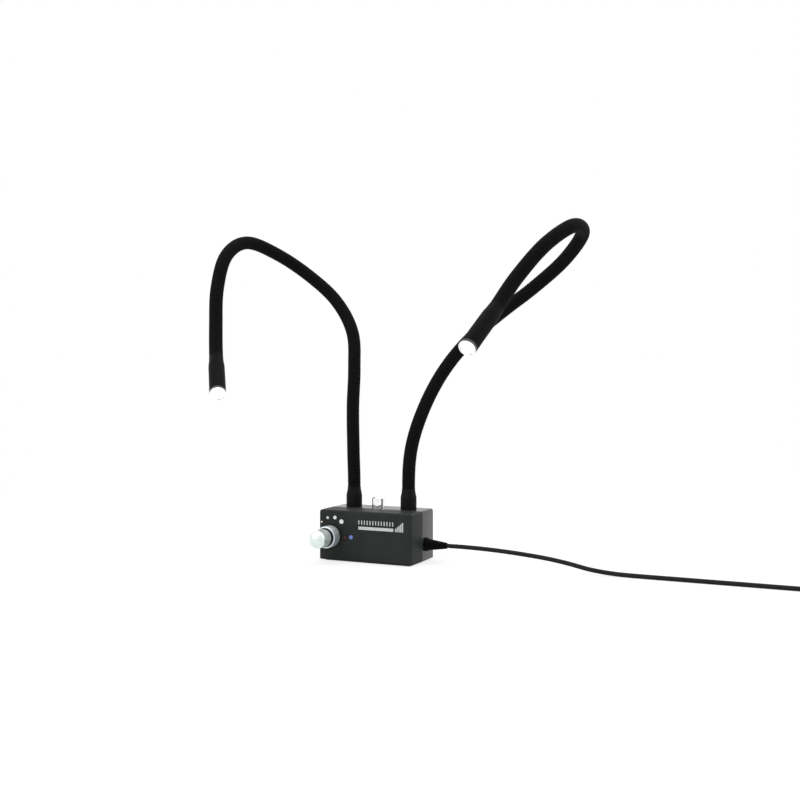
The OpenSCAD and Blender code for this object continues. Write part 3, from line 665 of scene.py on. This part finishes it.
def makeTie(s):
    low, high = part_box("coil_tie")
    across = leadSettings["coilStep"] * (s["turns"] - 1) + leadSettings["diameter"] + 2 * s["thickness"]
    clearSelection()
    bpy.ops.mesh.primitive_cube_add(size=1, scale=(across, s["width"], high.z - low.z))
    tie = namePiece("coilTie")
    shape = startEdit(tie, "FACE")
    pick(tie, shape, shape.faces, lambda f: abs(f.normal.y) > 0.9)
    bpy.ops.mesh.delete(type="FACE")
    endEdit()
    bevelWhere(tie, lambda e: reachY(e) > s["width"] / 2, s["corner"], segments=6)
    addModifier(tie, "SOLIDIFY", thickness=s["thickness"], offset=-1)
    outward = Matrix.Rotation(math.radians(s["angle"]), 4, "Z")
    tie.data.transform(Matrix.Translation(nodeCenter("coil_tie")) @ outward
                       @ Matrix.Translation((-s["inward"], 0, 0)))
    smoothShade(tie)
    finishPiece(tie, "tieBlack", "base", ["coil_tie"])
    print("tie made")


makePlug(plugSettings)
makeTie(tieSettings)
makeLead(leadSettings)


# Case: two drafted shells with rounded edges that meet in a fine groove

caseSettings = {
    "draft": 0.0005,
    "cornerRadius": 0.0025,
    "footRadius": 0.0012,
    "edgeRadius": 0.0015,
    "seamChamfer": 0.00025,
    "wall": 0.0025,
    # radii of the holes
    "shaftHole": 0.0036,
    "neckHole": 0.0051,
    "spigotHole": 0.0026,
    "leadHole": 0.0041,
    "ledFlange": 0.0005,    # hidden behind the front, round each indicator
    "ledGap": 0.00005,
}


def makeShell(name, node, way, s):
    low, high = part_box(node)
    center = (low + high) / 2
    clearSelection()
    bpy.ops.mesh.primitive_cube_add(size=1, location=center, scale=high - low)
    shell = namePiece(name)
    outer = low.y if way < 0 else high.y
    seam = high.y if way < 0 else low.y
    near = 1e-5

    def atY(item, y):
        return all(abs(v.co.y - y) < near for v in item.verts)

    shape = startEdit(shell, "FACE")
    pick(shell, shape, shape.faces, lambda f: atY(f, outer))
    narrow = 1 - 2 * s["draft"] / (high.x - low.x)
    bpy.ops.transform.resize(value=(narrow, 1, 1), center_override=center)
    endEdit()
    for radius, side in ((s["cornerRadius"], 1), (s["footRadius"], -1)):
        bevelWhere(shell, lambda e: reachY(e) > near and (middle(e).z - center.z) * side > 0,
                   radius, segments=8)
    bevelWhere(shell, lambda e: atY(e, outer), s["edgeRadius"], segments=6)
    bevelWhere(shell, lambda e: atY(e, seam), s["seamChamfer"], segments=1)
    shape = startEdit(shell, "FACE")
    pick(shell, shape, shape.faces, lambda f: atY(f, seam))
    bpy.ops.mesh.inset(thickness=s["wall"] - s["seamChamfer"], depth=0)
    depth = (high.y - low.y - s["wall"]) * way
    bpy.ops.mesh.extrude_region_move(TRANSFORM_OT_translate={"value": (0, depth, 0)})
    endEdit()
    tidyMesh(shell)
    return shell


def drill(shell, radius, matrix, wall):
    tool = rod("drill", radius, -wall * 2, wall)
    tool.data.transform(matrix)
    cutWith(shell, tool)


def makeCase(s):
    wall = s["wall"]
    front = makeShell("caseFront", "front_shell", -1, s)
    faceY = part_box("front_shell")[0].y
    knob = nodeCenter("pot_shaft")
    drill(front, s["shaftHole"], facingFront(knob.x, faceY, knob.z), wall)
    for node in ("power_led", "status_led"):
        place = nodeCenter(node)
        radius = nodeSize(node).x / 2 - s["ledFlange"] + s["ledGap"]
        drill(front, radius, facingFront(place.x, faceY, place.z), wall)
    smoothShade(front)
    finishPiece(front, "caseGrey", "base", ["front_shell"])
    rear = makeShell("caseRear", "rear_shell", 1, s)
    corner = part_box("rear_shell")[1]
    for node, hole in (("left_base_sleeve", "neckHole"), ("right_base_sleeve", "neckHole"),
                       ("mounting_spigot", "spigotHole")):
        place = nodeCenter(node)
        drill(rear, s[hole], Matrix.Translation((place.x, place.y, corner.z)), wall)
    place = nodeCenter("strain_relief")
    drill(rear, s["leadHole"], facingRight(corner.x, place.y, place.z), wall)
    return rear


# Case screws: low heads with a cross recess, sunk in the back

screwSettings = {
    "recess": 0.0025,
    "headHeight": 0.0022,
    "headRadius": 0.003,
    "shankRadius": 0.0015,
    "crown": 0.0007,
    "crownShare": 0.55,     # of the head's radius, flat on top
    "wellGap": 0.0001,
    "wellOver": 0.001,
    "crossLength": 0.0036,
    "crossWidth": 0.0008,
    "crossDepth": 0.0011,
}


def makeCaseScrews(rear, s):
    low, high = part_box("case_screws")
    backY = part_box("rear_shell")[1].y
    r = s["headRadius"]
    xs = (low.x + r, high.x - r)
    zs = (low.z + r, high.z - r)
    under = high.y - s["headHeight"]
    head = [(s["shankRadius"], low.y), (s["shankRadius"], under), (r, under)]
    head += easeRings(r, high.y - s["crown"], r * s["crownShare"], high.y, 5)
    screw = stackRings("caseScrews", head, sides=40)
    for turn in (0, 90):
        clearSelection()
        bpy.ops.mesh.primitive_cube_add(size=1, location=(0, 0, high.y),
                                        scale=(s["crossLength"], s["crossWidth"], 2 * s["crossDepth"]),
                                        rotation=(0, 0, math.radians(turn)))
        cutWith(screw, namePiece("cross"))
    turned = Matrix.Rotation(math.radians(-90), 4, "X")
    parts = []
    for x in xs:
        for z in zs:
            one = copyPiece(screw, "screwCopy")
            one.data.transform(Matrix.Translation((x, 0, z)) @ turned)
            parts.append(one)
            well = rod("well", r + s["wellGap"], backY - s["recess"], backY + s["wellOver"])
            well.data.transform(Matrix.Translation((x, 0, z)) @ turned)
            cutWith(rear, well)
    bpy.data.objects.remove(screw)
    activate(parts[0])
    for one in parts:
        one.select_set(True)
    bpy.ops.object.join()
    screws = namePiece("caseScrews")
    smoothShade(screws)
    finishPiece(screws, "screwSteel", "base", ["case_screws"])


rearCase = makeCase(caseSettings)
makeCaseScrews(rearCase, screwSettings)
smoothShade(rearCase)
finishPiece(rearCase, "caseBack", "base", ["rear_shell"])
print("case made")


# Spigot: turned and polished peg with a small radius under its chamfer

spigotSettings = {"chamfer": 0.001, "soft": 0.0002}


def makeSpigot(s):
    low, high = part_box("mounting_spigot")
    center = (low + high) / 2
    r = (high.x - low.x) / 2
    tall = high.z - low.z
    c = s["chamfer"]
    soft = s["soft"]
    rings = [(r - soft, 0), (r, soft), (r, tall - c - soft), (r - soft * 0.3, tall - c + soft * 0.5),
             (r - c + soft * 0.5, tall - soft * 0.3), (r - c - soft, tall), (r * 0.3, tall)]
    spigot = stackRings("spigot", rings, sides=96)
    spigot.data.transform(Matrix.Translation((center.x, center.y, low.z)))
    smoothShade(spigot, angle=25)
    finishPiece(spigot, "spigotChrome", "base", ["mounting_spigot"])
    print("spigot made")


makeSpigot(spigotSettings)


# Knob: a skirt and a domed cap, both with a diamond knurl

knobSettings = {
    "skirtTeeth": 48,
    "capTeeth": 40,
    "toothDepth": 0.0003,
    "edge": 0.0006,
    "plainRim": 0.0010,     # left smooth at both ends of a knurl
    "skirtWall": 0.00125,
    "capWall": 0.002,
    "capTop": 0.002,        # over the cap's bore
    "capSide": 0.013,
    "domeSoft": 0.004,      # radius between the cap's side and its dome
    "domeRings": 14,
}


# Rings of a knurled side, four to a tooth
def knurlRings(radius, teeth, low, high):
    rows = round((high - low) / (2 * math.pi * radius / teeth) * 4)
    return [(radius, low + (high - low) * i / rows) for i in range(rows + 1)]


# Sinks the points on two crossing sets of slanted lines
def cutKnurl(piece, teeth, depth, rings):
    radius, low = rings[0]
    high = rings[-1][1]
    tiny = 0.01 * mm

    def onSide(p):
        return low - tiny < p.z < high + tiny and math.hypot(p.x, p.y) > radius - depth - tiny

    def inGroove(v):
        turn = math.atan2(v.co.y, v.co.x) / (2 * math.pi) * teeth
        rise = (v.co.z - low) / (high - low) * (len(rings) - 1) / 4
        return onSide(v.co) and ((turn + rise + 0.125) % 1 < 0.25 or (turn - rise + 0.125) % 1 < 0.25)

    shape = startEdit(piece, "VERT")
    pick(piece, shape, shape.verts, inGroove)
    shrink = 1 - depth / radius
    bpy.ops.transform.resize(value=(shrink, shrink, 1), center_override=(0, 0, 0))
    endEdit()
    markPoints(piece, "crest", lambda p: 1 - (radius - math.hypot(p.x, p.y)) / depth if onSide(p) else 0.5)


def makeKnob(s):
    low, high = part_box("knob_skirt")
    center = (low + high) / 2
    r = (high.x - low.x) / 2
    long = high.y - low.y
    edge = s["edge"]
    knurl = knurlRings(r, s["skirtTeeth"], s["plainRim"], long - s["plainRim"])
    rings = [(r - s["skirtWall"], 0)] + roundRings(r - edge, edge, edge, -90, 0, 4) + knurl
    rings += roundRings(r - edge, long - edge, edge, 0, 90, 4) + [(r - s["skirtWall"], long)]
    skirt = stackRings("knobSkirt", rings, s["skirtTeeth"] * 4, "bridge")
    cutKnurl(skirt, s["skirtTeeth"], s["toothDepth"], knurl)
    skirt.data.transform(facingFront(center.x, high.y, center.z))
    smoothShade(skirt, angle=30)
    finishPiece(skirt, "skirtSatin", "knob", ["knob_skirt"])

    low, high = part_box("knob_cap")
    r = (high.x - low.x) / 2
    long = high.y - low.y
    side = s["capSide"]
    domeHeight = long - side
    domeRadius = (r * r + domeHeight * domeHeight) / (2 * domeHeight)
    soft = s["domeSoft"]
    rise = math.sqrt((domeRadius - soft) ** 2 - (r - soft) ** 2)
    softZ = long - domeRadius + rise
    reach = math.atan2(r - soft, rise)
    inner = r - s["capWall"]
    knurl = knurlRings(r, s["capTeeth"], s["plainRim"], softZ)
    bore = side - s["capTop"]
    rings = [(inner * 0.3, bore), (inner, bore), (inner, 0), (r - edge, 0)]
    rings += roundRings(r - edge, edge, edge, -60, 0, 3) + knurl
    rings += roundRings(r - soft, softZ, soft, 0, 90 - math.degrees(reach), 8)[1:]
    for i in range(1, s["domeRings"]):
        a = reach * (1 - i / s["domeRings"])
        rings.append((domeRadius * math.sin(a), long - domeRadius * (1 - math.cos(a))))
    cap = stackRings("knobCap", rings, s["capTeeth"] * 4)
    cutKnurl(cap, s["capTeeth"], s["toothDepth"], knurl)
    cap.data.transform(facingFront(center.x, high.y, center.z))
    smoothShade(cap, angle=30)
    finishPiece(cap, "knobChrome", "knob", ["knob_cap"])
    print("knob made")


makeKnob(knobSettings)


# Necks: one wound length, modelled straight, copied and bent along each neck's line

neckSettings = {
    "turns": 36,            # in each length between the middles of two links
    "length": 0.080,
    "crestRadius": 0.0065,
    "ribHeight": 0.0004,
    "wall": 0.0012,
    "steps": 32,
    "ribPoints": 12,
    "perSpan": 16,
    "tail": 0.016,          # how far a neck reaches into its ferrule
    "footTurns": 6,         # turns of it that are wound on below the foot
    "plug": 0.012,          # how far it reaches into its lamp head
    "bend": 0.028,          # how far from its hinge a length bends
    "foot": 0.070,
    # centre line from the foot, then the point that the lamp aims through
    "routes": {
        "left": [
            (0, 0, 0), (-0.001, 0, 0.040), (-0.003, 0.003, 0.080), (-0.005, 0.010, 0.120),
            (-0.013, 0.021, 0.157), (-0.035, 0.027, 0.190), (-0.063, 0.019, 0.217), (-0.088, -0.004, 0.238),
            (-0.101, -0.040, 0.246), (-0.102, -0.075, 0.229), (-0.099, -0.095, 0.195),
            (-0.093, -0.106, 0.157), (-0.080, -0.124, 0.125), (-0.053, -0.160, 0.113),
        ],
        "right": [
            (0, 0, 0), (0.003, 0, 0.040), (0.015, 0.002, 0.078), (0.034, 0.005, 0.114),
            (0.058, 0.012, 0.145), (0.087, 0.021, 0.171), (0.118, 0.028, 0.195), (0.149, 0.024, 0.219),
            (0.173, 0, 0.239), (0.175, -0.039, 0.241), (0.159, -0.069, 0.222), (0.140, -0.089, 0.193),
            (0.129, -0.114, 0.164), (0.130, -0.153, 0.146),
        ],
    },
}


def neckPoints(side, s):
    sleeve = nodeCenter(side + "_base_sleeve")
    foot = Vector((sleeve.x, sleeve.y, s["foot"]))
    points = [foot + Vector(p) for p in s["routes"][side]]
    return [points[1] - Vector((0, 0, s["length"])), *points]


def neckLine(side, s):
    points = neckPoints(side, s)
    line = smoothLine(points, s["perSpan"])
    way = (points[-1] - points[-3]).normalized()
    return [line[0] - Vector((0, 0, s["tail"])), *line, line[-1] + way * s["plug"]]


# One rib is half a circle, flattened; the screw winds it and the wall gives it thickness
def windLength(s, extra=0):
    pitch = s["length"] / s["turns"]
    root = s["crestRadius"] - s["ribHeight"]
    clearSelection()
    start = (root, 0, pitch * (0.5 - extra))
    bpy.ops.mesh.primitive_circle_add(vertices=s["ribPoints"], radius=pitch / 2, location=start,
                                      rotation=(math.radians(90), 0, 0))
    winding = namePiece("winding")
    shape = startEdit(winding, "VERT")
    pick(winding, shape, shape.verts, lambda v: v.co.x < root - 1e-6)
    bpy.ops.mesh.delete(type="VERT")
    bpy.ops.mesh.select_all(action="SELECT")
    bpy.ops.transform.resize(value=(s["ribHeight"] / (pitch / 2), 1, 1), center_override=(root, 0, 0))
    endEdit()
    addModifier(winding, "SCREW", axis="Z", angle=2 * math.pi, screw_offset=pitch,
                iterations=s["turns"] + extra, steps=s["steps"], render_steps=s["steps"])
    tidyMesh(winding)
    addModifier(winding, "SOLIDIFY", thickness=s["wall"], offset=-1)
    markPoints(winding, "crest", lambda p: (math.hypot(p.x, p.y) - root) / s["ribHeight"])
    smoothShade(winding, angle=60)
    return winding


def makeNecks(s):
    winding = windLength(s)
    footed = windLength(s, s["footTurns"])
    lengths = len(s["routes"]["left"]) // 2 - 1
    for side in ("left", "right"):
        path = drawLine(side + "NeckPath", neckLine(side, s))
        for k in range(lengths):
            piece = copyPiece(footed if k == 0 else winding, "%sNeck%d" % (side, k + 1))
            piece.data.transform(Matrix.Translation((0, 0, s["tail"] + k * s["length"])))
            addModifier(piece, "CURVE", object=path, deform_axis="POS_Z")
            dress(piece, "neckBlack")
            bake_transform(piece)
            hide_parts("%s_neck_%d" % (side, k + 1))
        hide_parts("%s_neck_%d" % (side, lengths + 1))
        bpy.data.objects.remove(path)
    bpy.data.objects.remove(winding)
    bpy.data.objects.remove(footed)
    print("necks made:", 2 * lengths, "lengths")


makeNecks(neckSettings)


# Sleeves: shrunk tubing with the marks of what lies under it

sleeveSettings = {
    "wall": 0.0006,
    "wrinkle": 0.00018,
    "wrinkleSize": 0.0035,
    "baseOver": 0.00015,        # how far a base sleeve stands out past its node
    "baseStraight": 0.0105,     # height of the ferrule under a base sleeve
    "baseSteps": 6,
    "baseEnd": 0.0185,          # where the base sleeve has shrunk onto the neck
    "neckGap": 0.0002,
    # upper rim, from the radius on the neck and from the top
    "baseRim": [(-0.00005, -0.0003), (-0.00012, 0), (-0.0003, 0)],
}


def wrinkle(piece, s):
    clouds = bpy.data.textures.new(piece.name + "Wrinkle", "CLOUDS")
    clouds.noise_scale = s["wrinkleSize"]
    clouds.noise_depth = 1
    addModifier(piece, "DISPLACE", texture=clouds, strength=s["wrinkle"], mid_level=0.5,
                texture_coords="LOCAL")


def makeBaseSleeve(side, s):
    low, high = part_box(side + "_base_sleeve")
    center = (low + high) / 2
    r = (high.x - low.x) / 2 + s["baseOver"]
    tall = high.z - low.z
    neck = neckSettings["crestRadius"] + s["neckGap"]
    steps = s["baseSteps"]
    rings = [(r - s["wall"], 0), (r, 0)]
    rings += [(r, s["baseStraight"] * i / steps) for i in range(1, steps)]
    rings += easeRings(r, s["baseStraight"], neck, s["baseEnd"], 10)
    rings += [(neck + out, tall + up) for out, up in s["baseRim"]]
    sleeve = stackRings(side + "BaseSleeve", rings, 56, "bridge")
    sleeve.data.transform(Matrix.Translation((center.x, center.y, low.z)))
    wrinkle(sleeve, s)
    smoothShade(sleeve, angle=50)
    finishPiece(sleeve, "shrinkBlack", "base", [side + "_base_sleeve"])


# The way out of a neck's end, with Z along the lamp head
def headMatrix(side):
    points = neckPoints(side, neckSettings)
    way = (points[-1] - points[-3]).normalized()
    return Matrix.Translation(points[-2]) @ way.to_track_quat("Z", "Y").to_matrix().to_4x4()


headSettings = {
    "length": 0.057,
    # outside of the sleeve: distance from the end of the neck, radius
    "flare": [
        (-0.003, 0.00662), (-0.001, 0.00664), (0.001, 0.00668), (0.003, 0.00678), (0.005, 0.00694),
        (0.007, 0.00711), (0.009, 0.00724), (0.011, 0.00733), (0.014, 0.00738), (0.017, 0.0074),
    ],
    "tuck": 0.00015,        # thickness of the sleeve's thin end
    "steps": 12,
    "plainEnd": 0.0006,
    "lip": 0.00025,
    "mouth": 0.0002,        # from the lens to the sleeve at the rim, and at the seat
    "lensGap": 0.00004,
    "paintedGlow": 0.003,         # how far the painted glow reaches from the rim
    "faint": 0.28,          # share of the painted glow on the outside
    "lensSeat": 0.0025,     # from the rim back to the end of the lamp housing
    "lensRadius": 0.0057,
    "lensBack": 0.0435,
    "lensFront": 0.0550,
    "lensRim": 0.0063,
    "lensCrown": 0.0004,
    "lensRings": 4,
    "lensGroove": 0.0001,
    "lensEye": 0.05,        # share of the radius left plain in the middle
    "lensEdge": 0.0002,
    "lensTail": (0.0016, 0.003),
    "lensTaper": 0.0006,
    "lensCollar": 0.002,
}


def makeHead(side, s):
    body = side + "_link_7"
    matrix = headMatrix(side)
    front = s["length"]
    lip = s["lip"]
    flareEnd, r = s["flare"][-1]
    seat = front - s["lensSeat"]
    steps = s["steps"]
    straight = front - s["plainEnd"] - flareEnd
    back, thin = s["flare"][0]
    rings = [(thin - s["tuck"], back)] + [(radius, along) for along, radius in s["flare"]]
    rings += [(r, flareEnd + straight * i / steps) for i in range(1, steps + 1)]
    rings += roundRings(r - lip, front - lip, lip, 0, 150, 5)
    rings += [(s["lensRim"] + s["mouth"], front - lip * 1.4), (s["lensRim"] + s["lensGap"], seat)]
    rings += [(r - sleeveSettings["wall"] * 0.5, seat), (r - sleeveSettings["wall"], flareEnd)]
    sleeve = stackRings(side + "HeadSleeve", rings, 64, "bridge")
    wrinkle(sleeve, sleeveSettings)

    # Painted glow: full on the sleeve's mouth inside the rim, and a fainter painted halo fading down the
    # outside from the rim
    def paintedGlowAt(p):
        if p.z > seat and (math.hypot(p.x, p.y) < r - lip or p.z > front - lip * 0.6):
            return 1
        return s["faint"] * max(0, 1 - (front - p.z) / s["paintedGlow"]) ** 2

    markPoints(sleeve, "paintedGlow", paintedGlowAt)
    sleeve.data.transform(matrix)
    smoothShade(sleeve, angle=50)
    finishPiece(sleeve, "headShrinkShaded", body, [side + "_head_sleeve"])

    waist = s["lensRadius"]
    rim = s["lensRim"]
    edge = s["lensEdge"]
    collar = seat - s["lensCollar"]
    rings = [(tail, s["lensBack"]) for tail in s["lensTail"]]
    rings += [(waist - s["lensTaper"], collar), (waist, collar), (waist, seat), (rim, seat),
              (rim, s["lensFront"] - edge)]
    count = s["lensRings"] * 3
    for i in range(count + 1):
        share = 1 - i / count * (1 - s["lensEye"])
        step = s["lensGroove"] * (i % 3 == 1)
        rings.append(((rim - edge) * share, s["lensFront"] + s["lensCrown"] * (1 - share * share) - step))
    lens = stackRings(side + "Lens", rings, 64)
    lens.data.transform(matrix)
    smoothShade(lens, angle=30)
    finishPiece(lens, "lensLit", body, [side + "_lens"])


for side in ("left", "right"):
    makeBaseSleeve(side, sleeveSettings)
    makeHead(side, headSettings)
print("sleeves and lamp heads made")


# Strain relief: a flange against the case and a boot that tapers onto the lead

bootSettings = {
    "flange": 0.002,
    "shoulder": 0.001,
    "tip": 0.0030,
    "edge": 0.0005,
    "neckRadius": 0.004,
    "seat": 0.006,
}


def makeStrainRelief(s):
    low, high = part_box("strain_relief")
    center = (low + high) / 2
    r = (high.y - low.y) / 2
    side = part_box("rear_shell")[1].x
    long = high.x - side
    edge = s["edge"]
    neck = s["neckRadius"]
    rings = [(neck * 0.5, -s["seat"]), (neck, -s["seat"]), (neck, 0), (r - edge, 0)]
    rings += roundRings(r - edge, edge, edge, -70, 0, 4)
    rings += roundRings(r - edge, s["flange"] - edge, edge, 0, 70, 4)
    rings += [(r - s["shoulder"], s["flange"] + s["shoulder"] * 0.6)]
    rings += roundRings(s["tip"] - edge, long - edge, edge, 0, 90, 4) + [(leadSettings["diameter"] / 2, long)]
    boot = stackRings("strainRelief", rings, sides=56)
    boot.data.transform(facingRight(side, center.y, center.z))
    smoothShade(boot, angle=40)
    finishPiece(boot, "bootBlack", "base", ["strain_relief"])
    print("strain relief made")


makeStrainRelief(bootSettings)


# Finishes of the nodes that keep their own shape

nodeFinishes = {
    "padRubber": ["base_pad"],
    "ballastIron": ["ballast_plate"],
    "screwSteel": ["spigot_screw", "board_screws", "pot_nut", "knob_screw"],
    "ferruleSteel": ["neck_ferrules"],
    "nutBrass": ["ferrule_nuts"],
    "boardGreen": ["circuit_board"],
    "ferrite": ["power_inductor"],
    "canSleeve": ["smoothing_capacitors"],
    "chipBlack": ["driver_chip"],
    "socketWhite": ["board_sockets"],
    "potMetal": ["dimmer_pot", "pot_shaft"],
    "hubBlack": ["knob_hub"],
    "inkWhite": ["scale_dots"],
    "printGrey": ["panel_print"],
    "ledBlueLit": ["power_led"],
    "ledRedDim": ["status_led"],
    "lampAlloy": ["left_lamp_housing", "right_lamp_housing"],
    "boardWhite": ["left_led_board", "right_led_board"],
    "emitterLit": ["left_led_emitter", "right_led_emitter"],
}

for finish, names in nodeFinishes.items():
    for name in names:
        dress(nodes[name], finish)
print("nodes dressed")


# Floor, light and background

studio = {
    "floorSize": 12.0,
    "floorColor": (0.86, 0.86, 0.86, 1),
    "floorPlain": 0.74,     # share of the floor's white that doesn't take the shadow
    "floorFade": (0.35, 0.95),      # from here to there the floor fades into the background
    "worldLight": 0.55,
    # name: place, size, power in watts
    "lamps": {
        "frontLeft": ((-0.9, -1.3, 1.5), 2.4, 27),
        "rightBack": ((1.6, 0.9, 1.1), 2.0, 16),
        "overhead": ((0.1, 0.3, 2.0), 2.6, 24),
    },
    "aim": (0.02, 0.0, 0.12),
}


# One where the camera, a mirror or glass sees the surface, and nothing where light falls on it
def seenShare(tree):
    add, link = tree.nodes.new, tree.links.new
    path = add("ShaderNodeLightPath")
    share = path.outputs["Is Camera Ray"]
    for kind in ("Is Glossy Ray", "Is Transmission Ray"):
        either = add("ShaderNodeMath")
        either.operation = "MAXIMUM"
        link(share, either.inputs[0])
        link(path.outputs[kind], either.inputs[1])
        share = either.outputs[0]
    return share


def makeFloor(s):
    clearSelection()
    bpy.ops.mesh.primitive_plane_add(size=s["floorSize"], location=(0, 0, 0))
    floor = namePiece("floor")
    material, add, link = newMaterial("floorPale")
    tree = material.node_tree
    tree.nodes.remove(tree.nodes["Principled BSDF"])
    matte = add("ShaderNodeBsdfDiffuse")
    matte.inputs["Color"].default_value = s["floorColor"]
    white = add("ShaderNodeBsdfDiffuse")
    white.inputs["Color"].default_value = (1, 1, 1, 1)
    plain = add("ShaderNodeEmission")
    place = add("ShaderNodeTexCoord")
    away = add("ShaderNodeVectorMath")
    away.operation = "LENGTH"
    fade = add("ShaderNodeMapRange")
    fade.interpolation_type = "SMOOTHSTEP"
    near, far = s["floorFade"]
    setInputs(fade, {"From Min": near, "From Max": far, "To Min": s["floorPlain"]})
    faint = add("ShaderNodeMixShader")
    seen = add("ShaderNodeMixShader")
    link(place.outputs["Object"], away.inputs[0])
    link(away.outputs["Value"], fade.inputs["Value"])
    link(fade.outputs["Result"], faint.inputs[0])
    link(white.outputs[0], faint.inputs[1])
    link(plain.outputs[0], faint.inputs[2])
    link(seenShare(tree), seen.inputs[0])
    link(matte.outputs[0], seen.inputs[1])
    link(faint.outputs[0], seen.inputs[2])
    link(seen.outputs[0], tree.nodes["Material Output"].inputs["Surface"])
    floor.data.materials.append(material)


def makeWorld(s):
    world = bpy.data.worlds.new("studio")
    world.use_nodes = True
    bpy.context.scene.world = world
    tree = world.node_tree
    ambient = tree.nodes["Background"]
    setInputs(ambient, {"Strength": s["worldLight"], "Color": (1, 1, 1, 1)})
    white = tree.nodes.new("ShaderNodeBackground")
    white.inputs["Color"].default_value = (1, 1, 1, 1)
    mix = tree.nodes.new("ShaderNodeMixShader")
    tree.links.new(seenShare(tree), mix.inputs[0])
    tree.links.new(ambient.outputs[0], mix.inputs[1])
    tree.links.new(white.outputs[0], mix.inputs[2])
    tree.links.new(mix.outputs[0], tree.nodes["World Output"].inputs["Surface"])


def addLamps(s):
    for name, (place, size, power) in s["lamps"].items():
        clearSelection()
        bpy.ops.object.light_add(type="AREA", location=place)
        lamp = bpy.context.object
        lamp.name = name
        lamp.data.shape = "DISK"
        lamp.data.size = size
        lamp.data.energy = power
        way = Vector(s["aim"]) - Vector(place)
        lamp.rotation_euler = way.to_track_quat("-Z", "Y").to_euler()


makeFloor(studio)
makeWorld(studio)
addLamps(studio)
bpy.context.scene.view_settings.view_transform = "Standard"
print("studio lit")
